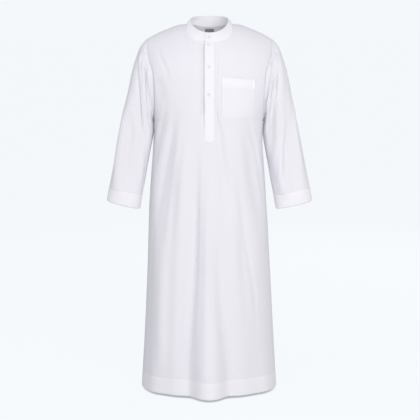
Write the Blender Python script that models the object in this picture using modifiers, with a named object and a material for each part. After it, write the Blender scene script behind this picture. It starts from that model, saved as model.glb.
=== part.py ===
"""Thobe robe, worn and hollow, as the separate cloth pieces it is sewn from.

Metres, +Z up. The wearer faces -Y, so +X is the wearer's left. The origin is the
middle of the neck hole at the height of the shoulder line beside the neck: the
robe hangs from there. Each piece is an open sheet laid through rows of points,
with the wall grown inwards from it by a Solidify modifier.
"""

import math
from collections import namedtuple
from functools import lru_cache

import bmesh
import bpy
from mathutils import Matrix, Vector
from mathutils.bvhtree import BVHTree

# ---------------------------------------------------------------- driving sizes
CLOTH = 0.0014  # one layer of shirting with its seam allowances
DOUBLED = 0.0026  # cloth turned up on itself at a hem
STAND = 0.0024  # interlined collar stand
SEAM = 0.0003  # gap between pieces that are sewn together
SIDE_GAP = 0.0004  # each panel's edge to the side seam, where the walls' inner corners close in

HEM_Z = -1.402
HEM_DEPTH = 0.062
UNDERARM_Z = -0.365
CHEST_Z = -0.200  # below this the body is sections, above it an arch over the shoulders
SEAM_Y = -0.031  # the shoulder seams lie forward of the ridge
TIP_X = 0.236  # shoulder seam's outer end
NECK_HALF = 0.089
NECK_FRONT = 0.056  # neck hole ahead of the shoulder seams
NECK_BACK = 0.103  # neck hole behind the shoulder seams
SLIT = 0.008
SLIT_END_Z = -0.425

PLACKET_HALF = 0.0182
PLACKET_END_Z = -0.432
PLACKET_POINT = 0.011
UNDER_LEFT = -0.030  # the strip behind the slit is wider towards the wearer's right
UNDER_RIGHT = 0.013

POCKET_LEFT = 0.045
POCKET_RIGHT = 0.168
POCKET_TOP_LEFT = -0.196
POCKET_TOP_RIGHT = -0.206
POCKET_BOTTOM = -0.349
POCKET_CUT = 0.017
POCKET_HEM = 0.036
TAB_WIDTH = 0.006
TAB_HEIGHT = 0.028

LABEL_HALF = 0.0170
LABEL_TOP = -0.0150
LABEL_BOTTOM = -0.0400

BUTTON_RADIUS = 0.0057
BUTTON_HEIGHT = 0.0026
BUTTON_RIM = 0.0011

# ---------------------------------------------------------------- tables
# Sections of the body: half-width, depth ahead of and behind the axis, how square.
Section = namedtuple("Section", "z half front back square shift")
BODY = (
    Section(-0.200, 0.250, 0.128, 0.124, 2.40, 0.000),
    Section(-0.290, 0.228, 0.132, 0.124, 2.40, -0.001),
    Section(-0.365, 0.210, 0.134, 0.121, 2.35, -0.003),
    Section(-0.450, 0.209, 0.136, 0.118, 2.30, -0.006),
    Section(-0.560, 0.217, 0.139, 0.118, 2.25, -0.006),
    Section(-0.690, 0.226, 0.143, 0.124, 2.20, -0.006),
    Section(-0.940, 0.238, 0.155, 0.142, 2.20, -0.003),
    Section(-1.190, 0.251, 0.171, 0.155, 2.20, -0.002),
    Section(-1.402, 0.264, 0.190, 0.166, 2.20, -0.002),
)

# The shoulder line from the neck's middle outwards.
Ridge = namedtuple("Ridge", "x z")
SHOULDER = (
    Ridge(0.000, 0.020),
    Ridge(0.045, 0.013),
    Ridge(0.089, 0.000),
    Ridge(0.120, -0.004),
    Ridge(0.160, -0.019),
    Ridge(0.200, -0.036),
    Ridge(0.240, -0.058),
)
ARCH_FRONT = 1.6  # how full the cloth is between the chest and the shoulder line
ARCH_BACK = 2.5

# The armhole seam, as its distance from the middle at each height.
Armhole = namedtuple("Armhole", "z front back")
ARMHOLE = (
    Armhole(-0.200, 0.2200, 0.2235),
    Armhole(-0.255, 0.2140, 0.2190),
    Armhole(-0.310, 0.2105, 0.2145),
    Armhole(-0.365, 0.2100, 0.2100),
)

# Folds run from (x, z) at their start to (x, z) at their end; a depth above zero is a
# ridge and below zero a trough, given at the start, half way and at the end.
Fold = namedtuple("Fold", "x_start z_start x_end z_end width start middle end")
FRONT_FOLDS = (
    Fold(0.000, -0.440, -0.002, HEM_Z, 0.090, 0.000, 0.016, 0.056),
    Fold(-0.042, -0.430, -0.062, HEM_Z, 0.044, 0.000, -0.009, -0.002),
    Fold(0.022, -0.700, 0.066, HEM_Z, 0.042, 0.000, -0.008, -0.001),
    Fold(-0.082, -0.240, -0.128, HEM_Z, 0.050, 0.000, 0.010, 0.003),
    Fold(-0.108, -0.230, -0.178, -0.960, 0.046, 0.000, -0.011, 0.000),
    Fold(-0.165, -0.250, -0.206, -0.780, 0.044, 0.000, -0.008, 0.000),
    Fold(0.024, -0.250, 0.080, -0.860, 0.042, 0.000, -0.009, 0.000),
    Fold(0.060, -0.330, 0.112, HEM_Z, 0.048, 0.000, 0.009, 0.003),
    Fold(0.132, -0.280, 0.206, -0.860, 0.046, 0.000, -0.011, 0.000),
    Fold(0.096, -0.440, 0.184, HEM_Z, 0.048, 0.000, -0.011, -0.004),
    Fold(0.160, -0.520, 0.222, HEM_Z, 0.048, 0.000, 0.008, 0.006),
    Fold(-0.180, -0.560, -0.214, HEM_Z, 0.048, 0.000, 0.007, 0.005),
)
BACK_FOLDS = (
    Fold(-0.018, -0.300, -0.034, HEM_Z, 0.070, 0.000, 0.014, 0.034),
    Fold(0.056, -0.260, 0.058, HEM_Z, 0.048, 0.000, -0.009, -0.014),
    Fold(0.112, -0.360, 0.140, HEM_Z, 0.056, 0.000, 0.011, 0.022),
    Fold(-0.084, -0.340, -0.102, HEM_Z, 0.046, 0.000, -0.009, -0.012),
    Fold(-0.128, -0.330, -0.164, HEM_Z, 0.056, 0.000, 0.011, 0.024),
    Fold(0.176, -0.320, 0.204, -1.150, 0.046, 0.000, -0.008, 0.000),
    Fold(-0.176, -0.360, -0.210, -1.050, 0.044, 0.000, -0.007, 0.000),
)

# Sections of a sleeve, each between a point on its underarm line and one on its outer
# line, with its reach forwards and backwards.
Cuff = namedtuple("Cuff", "x_in z_in x_out z_out front back")
SLEEVE = (
    Cuff(0.2135, -0.3665, 0.2445, -0.0640, -0.0755, 0.0700),
    Cuff(0.2180, -0.3700, 0.2630, -0.0870, -0.0770, 0.0715),
    Cuff(0.2215, -0.3790, 0.2780, -0.1240, -0.0765, 0.0710),
    Cuff(0.2230, -0.3920, 0.2920, -0.1740, -0.0745, 0.0690),
    Cuff(0.2235, -0.4120, 0.3040, -0.2280, -0.0720, 0.0655),
    Cuff(0.2230, -0.4400, 0.3150, -0.2850, -0.0700, 0.0610),
    Cuff(0.2245, -0.4740, 0.3270, -0.3400, -0.0690, 0.0560),
    Cuff(0.2275, -0.5080, 0.3385, -0.3950, -0.0685, 0.0500),
    Cuff(0.2325, -0.5420, 0.3500, -0.4500, -0.0690, 0.0430),
    Cuff(0.2380, -0.5770, 0.3615, -0.5080, -0.0700, 0.0350),
    Cuff(0.2450, -0.6130, 0.3730, -0.5660, -0.0715, 0.0270),
    Cuff(0.2525, -0.6480, 0.3840, -0.6190, -0.0730, 0.0200),
    Cuff(0.2532, -0.6515, 0.3847, -0.6225, -0.0730, 0.0195),
    Cuff(0.2580, -0.6770, 0.3885, -0.6460, -0.0738, 0.0165),
    Cuff(0.2620, -0.7010, 0.3925, -0.6700, -0.0745, 0.0140),
)
SLEEVE_GAP = 0.0011  # sideways, so that the walls' inner corners clear at the turned seam
SLEEVE_HEM_ROW = 12  # from here down the sleeve is turned up on itself
LOOP_BLEND = (0.20, 0.50, 0.80)  # how soon the armhole's own shape becomes an ellipse

# Folds of a sleeve: turn from the outer line towards the front in degrees at the
# start and end, rows of the table above, width in degrees, greatest depth.
SleeveFold = namedtuple("SleeveFold", "turn_start row_start turn_end row_end width depth")
SLEEVE_FOLDS = {
    -1: (
        SleeveFold(74, 1.0, 128, 8.0, 34, -0.009),
        SleeveFold(114, 1.0, 152, 7.0, 34, 0.006),
        SleeveFold(34, 4.0, 62, 13.0, 36, 0.007),
        SleeveFold(96, 6.0, 112, 13.0, 34, -0.006),
        SleeveFold(232, 1.0, 206, 7.0, 36, -0.007),
        SleeveFold(300, 3.0, 286, 13.0, 38, 0.007),
    ),
    1: (
        SleeveFold(58, 1.0, 100, 7.0, 32, 0.008),
        SleeveFold(98, 1.0, 136, 7.5, 32, -0.008),
        SleeveFold(122, 6.0, 108, 13.0, 34, 0.007),
        SleeveFold(78, 5.0, 84, 13.0, 34, -0.007),
        SleeveFold(228, 1.0, 204, 7.0, 36, -0.007),
        SleeveFold(296, 4.0, 282, 13.0, 38, 0.006),
    ),
}

# The collar's top edge rises from the throat to the nape.
CollarTop = namedtuple("CollarTop", "y z")
COLLAR_TOP = (
    CollarTop(-0.072, -0.0310),
    CollarTop(-0.048, -0.0150),
    CollarTop(-0.024, 0.0030),
    CollarTop(0.000, 0.0190),
    CollarTop(0.035, 0.0280),
    CollarTop(0.066, 0.0310),
)
COLLAR_HALF = 0.0705
COLLAR_FRONT = -0.0720
COLLAR_BACK = 0.0660
COLLAR_LIFT = 0.0010  # the stand's lower edge above the neck edge it is sewn to
COLLAR_INSET = 0.0012  # and inside it
COLLAR_ROWS = 4
COLLAR_STEPS = 44
LAP_START = -11.8  # turn of the outer end, measured from the middle of the front
LAP_END = 371.0
LAP_TUCK = 0.0031  # how far the under end lies inside the outer one

Button = namedtuple("Button", "name x z")
BUTTONS = (
    Button("button_collar", -0.0015, -0.0470),
    Button("button_1", -0.0030, -0.0765),
    Button("button_2", -0.0018, -0.1580),
    Button("button_3", -0.0032, -0.2615),
)

# ---------------------------------------------------------------- grid of the panels
NECK_COLUMNS = 7  # columns of a half panel that end on the neck hole
HALF_COLUMNS = 15  # all columns of a half panel
FRONT_ARCH_ROWS = 6
BACK_ARCH_ROWS = 9
BODY_ROWS = (HEM_Z, -1.371, HEM_Z + HEM_DEPTH - 0.0015, HEM_Z + HEM_DEPTH + 0.0015) + tuple(
    HEM_Z + HEM_DEPTH + 0.0700 * step for step in range(1, 13)
) + (-0.450, -0.405, UNDERARM_Z, -0.310, -0.255, CHEST_Z)
HEM_ROWS = 3
COLUMN_PULL = 0.60  # how far the columns gather towards the neck by the chest
PULL_Z = -0.800

# ---------------------------------------------------------------- materials
Finish = namedtuple("Finish", "name colour roughness")
SHIRTING = Finish("white_shirting", (0.86, 0.86, 0.89), 0.78)
PLAIN_TAB = Finish("white_tape", (0.90, 0.90, 0.92), 0.70)
LABEL = Finish("dark_woven_label", (0.13, 0.12, 0.14), 0.75)
SHELL = Finish("white_button", (0.88, 0.88, 0.88), 0.30)


def material(finish):
    """Material of that finish, made once."""
    made = bpy.data.materials.get(finish.name)
    if made is None:
        made = bpy.data.materials.new(finish.name)
        made.use_nodes = True
        shader = made.node_tree.nodes["Principled BSDF"]
        shader.inputs["Base Color"].default_value = (*finish.colour, 1.0)
        shader.inputs["Roughness"].default_value = finish.roughness
        shader.inputs["Metallic"].default_value = 0.0
    return made


# ---------------------------------------------------------------- reading the tables
def mix(low, high, part):
    """Value a part of the way from low to high."""
    return low + (high - low) * part


def smooth(part):
    """Part from 0 to 1 with soft ends."""
    part = min(max(part, 0.0), 1.0)
    return part * part * (3.0 - 2.0 * part)


@lru_cache(maxsize=None)
def read(table, column, at):
    """A column of a table at a value of its first column, on a smooth curve."""
    keys = [row[0] for row in table]
    values = [getattr(row, column) for row in table]
    if keys[0] > keys[-1]:
        keys.reverse()
        values.reverse()
    at = min(max(at, keys[0]), keys[-1])
    last = len(keys) - 1
    index = min(max(sum(key <= at for key in keys) - 1, 0), last - 1)
    span = keys[index + 1] - keys[index]
    slopes = []
    for here in (index, index + 1):
        below, above = max(here - 1, 0), min(here + 1, last)
        slopes.append((values[above] - values[below]) / (keys[above] - keys[below]) * span)
    t = (at - keys[index]) / span
    rise = values[index + 1] - values[index]
    curve = slopes[0] * t + (3 * rise - 2 * slopes[0] - slopes[1]) * t**2
    return values[index] + curve + (slopes[0] + slopes[1] - 2 * rise) * t**3


# ---------------------------------------------------------------- the body's surface
def plain_radius(z, turn):
    """Distance from the axis to the unfolded body at a turn from the middle front."""
    side, ahead = abs(math.sin(turn)), math.cos(turn)
    deep = read(BODY, "front" if ahead > 0 else "back", z)
    square = read(BODY, "square", z)
    return ((side / read(BODY, "half", z)) ** square + (abs(ahead) / deep) ** square) ** (-1 / square)


@lru_cache(maxsize=None)
def turn_at(z, x, behind):
    """Turn at which the unfolded body passes x on its front or its back."""
    low, high = 0.0, math.pi / 2
    reach = abs(x - read(BODY, "shift", z))
    for _ in range(40):
        middle = (low + high) / 2
        turn = math.pi - middle if behind else middle
        if plain_radius(z, turn) * math.sin(middle) < reach:
            low = middle
        else:
            high = middle
    turn = math.pi - low if behind else low
    return math.copysign(turn, x - read(BODY, "shift", z))


def fold_depth(z, turn):
    """How far the folds push the body out at a height and turn."""
    total = 0.0
    for behind, folds in ((False, FRONT_FOLDS), (True, BACK_FOLDS)):
        for fold in folds:
            along = (fold.z_start - z) / (fold.z_start - fold.z_end)
            if not 0.0 < along <= 1.0:
                continue
            crest = turn_at(z, mix(fold.x_start, fold.x_end, along), behind)
            away = abs(math.remainder(turn - crest, math.tau)) * plain_radius(z, turn)
            if away < fold.width:
                if along < 0.5:
                    depth = mix(fold.start, fold.middle, smooth(2 * along))
                else:
                    depth = mix(fold.middle, fold.end, smooth(2 * along - 1))
                total += depth * math.cos(math.pi / 2 * away / fold.width) ** 2
    return total


def body_point(z, turn):
    """Point of the folded body at a height and turn, both sides of the front."""
    radius = plain_radius(z, turn) + fold_depth(z, turn)
    return Vector((read(BODY, "shift", z) + radius * math.sin(turn), -radius * math.cos(turn), z))


def chest_depth(x, behind):
    """Reach of the body from the axis at the chest, at a distance from the middle."""
    deep = read(BODY, "back" if behind else "front", CHEST_Z)
    square = read(BODY, "square", CHEST_Z)
    across = min(abs(x) / read(BODY, "half", CHEST_Z), 0.999)
    return deep * (1.0 - across**square) ** (1.0 / square)


def arch_turn(x, y):
    """Angle up the arch over the shoulder at which it passes y."""
    behind = y > 0
    full = ARCH_BACK if behind else ARCH_FRONT
    ratio = min(abs(y) / chest_depth(x, behind), 1.0)
    rise = math.acos(ratio ** (full / 2))
    return rise


def arch_point(x, rise, behind):
    """Point of the arch over the shoulders; a rise past a right angle comes down again."""
    if rise > math.pi / 2:
        rise, behind = math.pi - rise, not behind
    full = ARCH_BACK if behind else ARCH_FRONT
    top = read(SHOULDER, "z", abs(x))
    y = chest_depth(x, behind) * math.cos(rise) ** (2 / full)
    z = CHEST_Z + (top - CHEST_Z) * math.sin(rise) ** (2 / full)
    return Vector((x, y if behind else -y, z))


def neck_plan(turn):
    """Place of the neck edge in plan at a turn from the middle front."""
    x = NECK_HALF * math.sin(turn)
    ahead = math.cos(turn)
    if ahead > 0:
        bow = (1.0 - min(abs(x) / NECK_HALF, 1.0) ** 2.6) ** (1 / 2.6)
        return x, SEAM_Y - NECK_FRONT * bow
    return x, SEAM_Y - NECK_BACK * ahead


def neck_point(turn):
    """Point of the neck edge on the body at a turn from the middle front."""
    x, y = neck_plan(turn)
    return arch_point(x, arch_turn(x, y), y > 0)


# ---------------------------------------------------------------- panels
def top_end(column, behind):
    """Where a column of a half panel ends, as its x and y in plan."""
    gap = SEAM / 2 if behind else -SEAM / 2
    if column >= NECK_COLUMNS:
        part = (column - NECK_COLUMNS) / (HALF_COLUMNS - NECK_COLUMNS)
        return mix(NECK_HALF, TIP_X, part), SEAM_Y + gap
    turn = math.pi / 2 * column / NECK_COLUMNS
    if column == 0 and not behind:
        turn = math.asin(SLIT / 2 / NECK_HALF)
    return neck_plan(math.pi - turn if behind else turn)


def column_turn(z, column, behind):
    """Turn of a column of a half panel at a height below the chest."""
    edge = math.pi / 2 - SIDE_GAP / read(BODY, "half", z)
    if z > UNDERARM_Z:
        seam = read(ARMHOLE, "back" if behind else "front", z)
        edge = min(edge, plain_edge(z, seam, behind))
    even = column / HALF_COLUMNS
    gathered = top_end(column, behind)[0] / TIP_X
    part = mix(even, gathered, COLUMN_PULL * smooth((z - PULL_Z) / (CHEST_Z - PULL_Z)))
    turn = edge * part
    if column == 0 and not behind:
        turn = math.asin(SLIT / 2 / plain_radius(z, 0.0))
    return math.pi - turn if behind else turn


def plain_edge(z, x, behind):
    """Turn of the armhole from the middle of its own panel."""
    turn = abs(turn_at(z, x + read(BODY, "shift", z), behind))
    return math.pi - turn if behind else turn


def panel_column(column, side, behind):
    """Points of one column of a panel from the hem to its top end."""
    points = []
    for z in BODY_ROWS:
        points.append(body_point(z, side * column_turn(z, column, behind)))
    chest_x = abs(points[-1].x)
    end_x, end_y = top_end(column, behind)
    rows = BACK_ARCH_ROWS if behind else FRONT_ARCH_ROWS
    rise = arch_turn(end_x, end_y)
    if behind and end_y < 0:
        rise = math.pi - rise
    for row in range(1, rows + 1):
        part = row / rows
        point = arch_point(mix(chest_x, end_x, smooth(part)), rise * part, behind)
        point.x *= side
        points.append(point)
    return points


def panel_rows(behind):
    """Rows of points of a panel, hem first, running with the panel's face outwards."""
    first = 0 if not behind else 1
    halves = {side: [panel_column(column, side, behind) for column in range(HALF_COLUMNS + 1)] for side in (-1, 1)}
    start, finish = (-1, 1) if not behind else (1, -1)
    columns = halves[start][::-1] + halves[finish][first:]
    return [list(row) for row in zip(*columns)]


# ---------------------------------------------------------------- sheets and walls
def sheet(rows, closed=False, flip=False):
    """Bmesh of an open sheet through rows of points; a closed one joins its sides."""
    mesh = bmesh.new()
    grid = [[mesh.verts.new(point) for point in row] for row in rows]
    for below, above in zip(grid, grid[1:]):
        last = len(below) if closed else len(below) - 1
        for column in range(last):
            after = (column + 1) % len(below)
            corners = [below[column], below[after], above[after], above[column]]
            mesh.faces.new(corners[::-1] if flip else corners)
    bmesh.ops.triangulate(mesh, faces=mesh.faces, quad_method="FIXED")
    mesh.normal_update()
    return mesh, grid


def moved_out(mesh, distance):
    """Move every point of a sheet along its normal, outwards if above zero."""
    mesh.normal_update()
    steps = [vertex.normal * distance for vertex in mesh.verts]
    for vertex, step in zip(mesh.verts, steps):
        vertex.co += step
    return mesh


def trimmed(mesh, cuts):
    """Keep the part of a sheet behind each plane, given as a point and a normal."""
    for point, normal in cuts:
        everything = mesh.verts[:] + mesh.edges[:] + mesh.faces[:]
        bmesh.ops.bisect_plane(mesh, geom=everything, plane_co=point, plane_no=normal, clear_outer=True, dist=1e-6)
    return mesh


def piece(name, mesh, finish, wall, outwards=False, thin=None, thick_points=()):
    """Object of a sheet with its wall; thin is the wall away from the thick points."""
    data = bpy.data.meshes.new(name)
    thick = {vertex.index for vertex in thick_points}
    mesh.to_mesh(data)
    mesh.free()
    data.materials.append(material(finish))
    made = bpy.data.objects.new(name, data)
    collection.objects.link(made)
    solid = made.modifiers.new("wall", "SOLIDIFY")
    solid.thickness = wall
    solid.offset = 1.0 if outwards else -1.0
    if thin is not None:
        group = made.vertex_groups.new(name="turned_up")
        group.add(sorted(thick), 1.0, "REPLACE")
        solid.vertex_group = group.name
        solid.thickness_vertex_group = thin / wall
    made.parent = robe
    return made


# ---------------------------------------------------------------- body pieces
def build_body():
    """Front and back panels; returns the rows of each for what is sewn to them."""
    front_rows, back_rows = panel_rows(False), panel_rows(True)
    mesh, grid = sheet(front_rows)
    slit = [row for row, z in zip(grid, BODY_ROWS + (0.0,) * FRONT_ARCH_ROWS) if z > SLIT_END_Z]
    edges = {vertex for row in slit for vertex in row[HALF_COLUMNS:HALF_COLUMNS + 2]}
    faces = [face for face in mesh.faces if edges.issuperset(face.verts)]
    bmesh.ops.delete(mesh, geom=faces, context="FACES")
    mesh.verts.index_update()
    hem = [vertex for row in grid[:HEM_ROWS] for vertex in row]
    piece("front", mesh, SHIRTING, DOUBLED, thin=CLOTH, thick_points=hem)
    mesh, grid = sheet(back_rows)
    mesh.verts.index_update()
    hem = [vertex for row in grid[:HEM_ROWS] for vertex in row]
    piece("back", mesh, SHIRTING, DOUBLED, thin=CLOTH, thick_points=hem)
    return front_rows, back_rows


def build_on_front(front_rows):
    """Pieces that lie on the front panel, each cut from the panel's own points."""
    x_axis, z_axis = Vector((1, 0, 0)), Vector((0, 0, 1))
    end = Vector((0, 0, PLACKET_END_Z))
    tip = Vector((0, 0, PLACKET_END_Z - PLACKET_POINT))
    slant = Vector((PLACKET_POINT, 0, -PLACKET_HALF)).normalized()
    mesh, _ = sheet(front_rows)
    cuts = [
        (Vector((PLACKET_HALF, 0, 0)), x_axis),
        (Vector((-PLACKET_HALF, 0, 0)), -x_axis),
        (tip, slant),
        (tip, Vector((-slant.x, 0, slant.z))),
    ]
    piece("placket_upper", trimmed(moved_out(mesh, SEAM), cuts), SHIRTING, CLOTH, outwards=True)

    mesh, _ = sheet(front_rows)
    cuts = [(Vector((UNDER_RIGHT, 0, 0)), x_axis), (Vector((UNDER_LEFT, 0, 0)), -x_axis), (end, -z_axis)]
    piece("placket_under", trimmed(moved_out(mesh, -CLOTH - SEAM), cuts), SHIRTING, CLOTH)

    mesh, _ = sheet(front_rows)
    mouth = Vector((POCKET_TOP_LEFT - POCKET_TOP_RIGHT, 0, POCKET_RIGHT - POCKET_LEFT)).normalized()
    corner = Vector((1, 0, -1)).normalized()
    cuts = [
        (Vector((POCKET_RIGHT, 0, 0)), x_axis),
        (Vector((POCKET_LEFT, 0, 0)), -x_axis),
        (Vector((POCKET_LEFT, 0, POCKET_TOP_LEFT)), mouth),
        (Vector((0, 0, POCKET_BOTTOM)), -z_axis),
        (Vector((POCKET_RIGHT - POCKET_CUT, 0, POCKET_BOTTOM)), corner),
        (Vector((POCKET_LEFT + POCKET_CUT, 0, POCKET_BOTTOM)), Vector((-corner.x, 0, corner.z))),
    ]
    mesh = trimmed(moved_out(mesh, SEAM), cuts)
    for drop in (POCKET_HEM, POCKET_HEM + 0.003):
        everything = mesh.verts[:] + mesh.edges[:] + mesh.faces[:]
        across = Vector((POCKET_LEFT, 0, POCKET_TOP_LEFT - drop))
        bmesh.ops.bisect_plane(mesh, geom=everything, plane_co=across, plane_no=mouth, dist=1e-6)
    mesh.verts.index_update()
    level = Vector((POCKET_LEFT, 0, POCKET_TOP_LEFT - POCKET_HEM - 0.001))
    hem = [vertex for vertex in mesh.verts if (vertex.co - level).dot(mouth) > 0]
    piece("chest_pocket", mesh, SHIRTING, DOUBLED, outwards=True, thin=CLOTH, thick_points=hem)

    mesh, _ = sheet(front_rows)
    top = POCKET_TOP_RIGHT - 0.004
    cuts = [
        (Vector((POCKET_RIGHT - 0.0008, 0, 0)), x_axis),
        (Vector((POCKET_RIGHT - 0.0008 - TAB_WIDTH, 0, 0)), -x_axis),
        (Vector((0, 0, top)), z_axis),
        (Vector((0, 0, top - TAB_HEIGHT)), -z_axis),
    ]
    lift = SEAM + DOUBLED + SEAM
    piece("pocket_tab", trimmed(moved_out(mesh, lift), cuts), PLAIN_TAB, CLOTH / 2, outwards=True)


def build_label(back_rows):
    """Plain label inside the back of the neck, cut from the back panel's points."""
    mesh, _ = sheet(back_rows)
    cuts = [
        (Vector((LABEL_HALF, 0, 0)), Vector((1, 0, 0))),
        (Vector((-LABEL_HALF, 0, 0)), Vector((-1, 0, 0))),
        (Vector((0, 0, LABEL_TOP)), Vector((0, 0, 1))),
        (Vector((0, 0, LABEL_BOTTOM)), Vector((0, 0, -1))),
        (Vector((0, 0, 0)), Vector((0, -1, 0))),
    ]
    piece("neck_label", trimmed(moved_out(mesh, -CLOTH - SEAM), cuts), LABEL, CLOTH / 2)


# ---------------------------------------------------------------- sleeves
def armhole_loop(front_rows, back_rows, side):
    """Armhole edge from the underarm up the front, over the shoulder and down the back."""
    first = BODY_ROWS.index(UNDERARM_Z)
    front_column, back_column = (0, -1) if side < 0 else (-1, 0)
    rise = [row[front_column] for row in front_rows[first:]]
    fall = [row[back_column] for row in back_rows[first:]]
    return rise + fall[-2:0:-1]


def sleeve_rows(loop, side):
    """Rings of a sleeve: the armhole first, then the sections of the table."""
    def frame(cut):
        inner = Vector((side * cut.x_in + read(BODY, "shift", cut.z_in), 0, cut.z_in))
        outer = Vector((side * cut.x_out, 0, cut.z_out))
        return (inner + outer) / 2, (outer - inner) / 2, (cut.front + cut.back) / 2, (cut.back - cut.front) / 2

    centre = (loop[0] + Vector((side * TIP_X, 0, read(SHOULDER, "z", TIP_X)))) / 2
    reach = (Vector((side * TIP_X, 0, read(SHOULDER, "z", TIP_X))) - loop[0]) / 2
    front_y, back_y = min(point.y for point in loop), max(point.y for point in loop)
    places = []
    for point in loop:
        up = (point - centre).dot(reach) / reach.length_squared
        out = -(point.y - (front_y + back_y) / 2) / ((back_y - front_y) / 2)
        places.append((up, out, math.atan2(out, up)))
    rows = [[point + Vector((side * SLEEVE_GAP, 0, 0)) for point in loop]]
    for index, cut in enumerate(SLEEVE):
        middle, reach, y_middle, y_half = frame(cut)
        blend = LOOP_BLEND[index] if index < len(LOOP_BLEND) else 1.0
        row = []
        for up, out, turn in places:
            swell = 1.0 + sleeve_fold(index, math.degrees(turn) % 360.0, side) / y_half
            along = mix(up, math.cos(turn), blend) * swell
            across = mix(out, math.sin(turn), blend) * swell
            row.append(middle + reach * along + Vector((0, y_middle - y_half * across, 0)))
        rows.append(row)
    return rows


def sleeve_fold(row, turn, side):
    """How far the folds push a sleeve out at a row and a turn from its outer line."""
    total = 0.0
    for fold in SLEEVE_FOLDS[side]:
        along = (row - fold.row_start) / (fold.row_end - fold.row_start)
        if 0.0 < along < 1.0:
            away = abs(turn - mix(fold.turn_start, fold.turn_end, along))
            if away < fold.width:
                soft = math.sin(math.pi * along)
                total += fold.depth * soft * math.cos(math.pi / 2 * away / fold.width) ** 2
    return total


def build_sleeves(front_rows, back_rows):
    """Both set-in sleeves, the wearer's right one first."""
    for name, side in (("sleeve_right", -1), ("sleeve_left", 1)):
        rows = sleeve_rows(armhole_loop(front_rows, back_rows, side), side)
        mesh, grid = sheet(rows, closed=True, flip=side < 0)
        mesh.verts.index_update()
        hem = [vertex for row in grid[SLEEVE_HEM_ROW + 1:] for vertex in row]
        piece(name, mesh, SHIRTING, DOUBLED, thin=CLOTH, thick_points=hem)


# ---------------------------------------------------------------- collar and buttons
def build_collar():
    """Stand collar as one strip round the neck, its left end over its right end."""
    rows = [[] for _ in range(COLLAR_ROWS + 1)]
    for step in range(COLLAR_STEPS + 1):
        degrees = mix(LAP_START, LAP_END, step / COLLAR_STEPS)
        turn = math.radians(degrees)
        tuck = LAP_TUCK * smooth((degrees - 290.0) / 50.0)
        low = neck_point(math.remainder(turn, 2 * math.pi))
        low.z += COLLAR_LIFT
        ahead = math.cos(turn)
        low += Vector((-math.sin(turn), ahead, 0.0)) * COLLAR_INSET
        middle = (COLLAR_FRONT + COLLAR_BACK) / 2
        y = middle - (COLLAR_BACK - COLLAR_FRONT) / 2 * ahead
        high = Vector((COLLAR_HALF * math.sin(turn), y, read(COLLAR_TOP, "z", y)))
        inward = Vector((-math.sin(turn), ahead, 0.0)) * tuck
        for row in range(COLLAR_ROWS + 1):
            part = row / COLLAR_ROWS
            bow = Vector((math.sin(turn), -ahead, 0.0)) * 0.002 * math.sin(math.pi * part)
            rows[row].append(low.lerp(high, part) + inward + bow)
    mesh, _ = sheet(rows)
    return piece("collar_stand", mesh, SHIRTING, STAND)


def button_mesh(name):
    """Turned button: flat back, rounded rim and a sunk face with the thread at its middle."""
    radius, height, rim = BUTTON_RADIUS, BUTTON_HEIGHT, BUTTON_RIM
    profile = (
        (0.0, 0.0), (0.80 * radius, 0.0), (radius, 0.35 * height), (radius, 0.65 * height),
        (radius - 0.4 * rim, height), (radius - rim, height), (radius - 1.5 * rim, 0.72 * height),
        (0.34 * radius, 0.68 * height), (0.26 * radius, 0.86 * height), (0.0, 0.90 * height),
    )
    mesh = bmesh.new()
    points = [mesh.verts.new((x, 0.0, z)) for x, z in profile]
    edges = [mesh.edges.new(pair) for pair in zip(points, points[1:])]
    everything = points + edges
    bmesh.ops.spin(mesh, geom=everything, axis=(0, 0, 1), cent=(0, 0, 0), steps=16, angle=math.tau, use_merge=True)
    bmesh.ops.remove_doubles(mesh, verts=mesh.verts, dist=1e-6)
    bmesh.ops.recalc_face_normals(mesh, faces=mesh.faces)
    data = bpy.data.meshes.new(name)
    mesh.to_mesh(data)
    mesh.free()
    data.materials.append(material(SHELL))
    data.shade_smooth()
    return data


def outer_surface(name):
    """Search tree of an object's evaluated mesh in world space."""
    shape = bpy.data.objects[name]
    graph = bpy.context.evaluated_depsgraph_get()
    return BVHTree.FromObject(shape, graph)


def build_buttons():
    """Buttons on the collar's outer end and down the placket, each just off its cloth."""
    bpy.context.view_layer.update()
    for button in BUTTONS:
        cloth = outer_surface("collar_stand" if button.name == "button_collar" else "placket_upper")
        hits = []
        for dx, dz in ((0, 0), (1, 0), (-1, 0), (0, 1), (0, -1)):
            aim = Vector((button.x + dx * BUTTON_RADIUS, -1.0, button.z + dz * BUTTON_RADIUS))
            hits.append(cloth.ray_cast(aim, Vector((0, 1, 0)))[0])
        across, upward = hits[1] - hits[2], hits[3] - hits[4]
        face = across.cross(upward).normalized()
        lift = max((hit - hits[0]).dot(face) for hit in hits) + SEAM
        made = bpy.data.objects.new(button.name, button_mesh(button.name))
        collection.objects.link(made)
        turn = face.to_track_quat("Z", "Y").to_matrix().to_4x4()
        made.matrix_world = Matrix.Translation(hits[0] + face * lift) @ turn
        made.parent = robe


# ---------------------------------------------------------------- the robe
for old in list(bpy.data.objects):
    bpy.data.objects.remove(old, do_unlink=True)
collection = bpy.data.collections.new("thobe_robe")
bpy.context.scene.collection.children.link(collection)
robe = bpy.data.objects.new("robe", None)
collection.objects.link(robe)

panels = build_body()
build_on_front(panels[0])
build_label(panels[1])
build_sleeves(*panels)
build_collar()
build_buttons()
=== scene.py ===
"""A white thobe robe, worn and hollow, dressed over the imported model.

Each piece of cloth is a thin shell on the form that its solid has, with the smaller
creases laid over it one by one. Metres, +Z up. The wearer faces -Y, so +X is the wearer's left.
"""

import logging
import math
from dataclasses import dataclass, field, replace
from enum import Enum
from typing import Sequence

import bmesh
import bpy
import numpy as np
from bmesh.types import BMesh
from bpy.types import Material, NodeSocket, NodeTree, Object
from mathutils import Matrix, Vector


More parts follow.
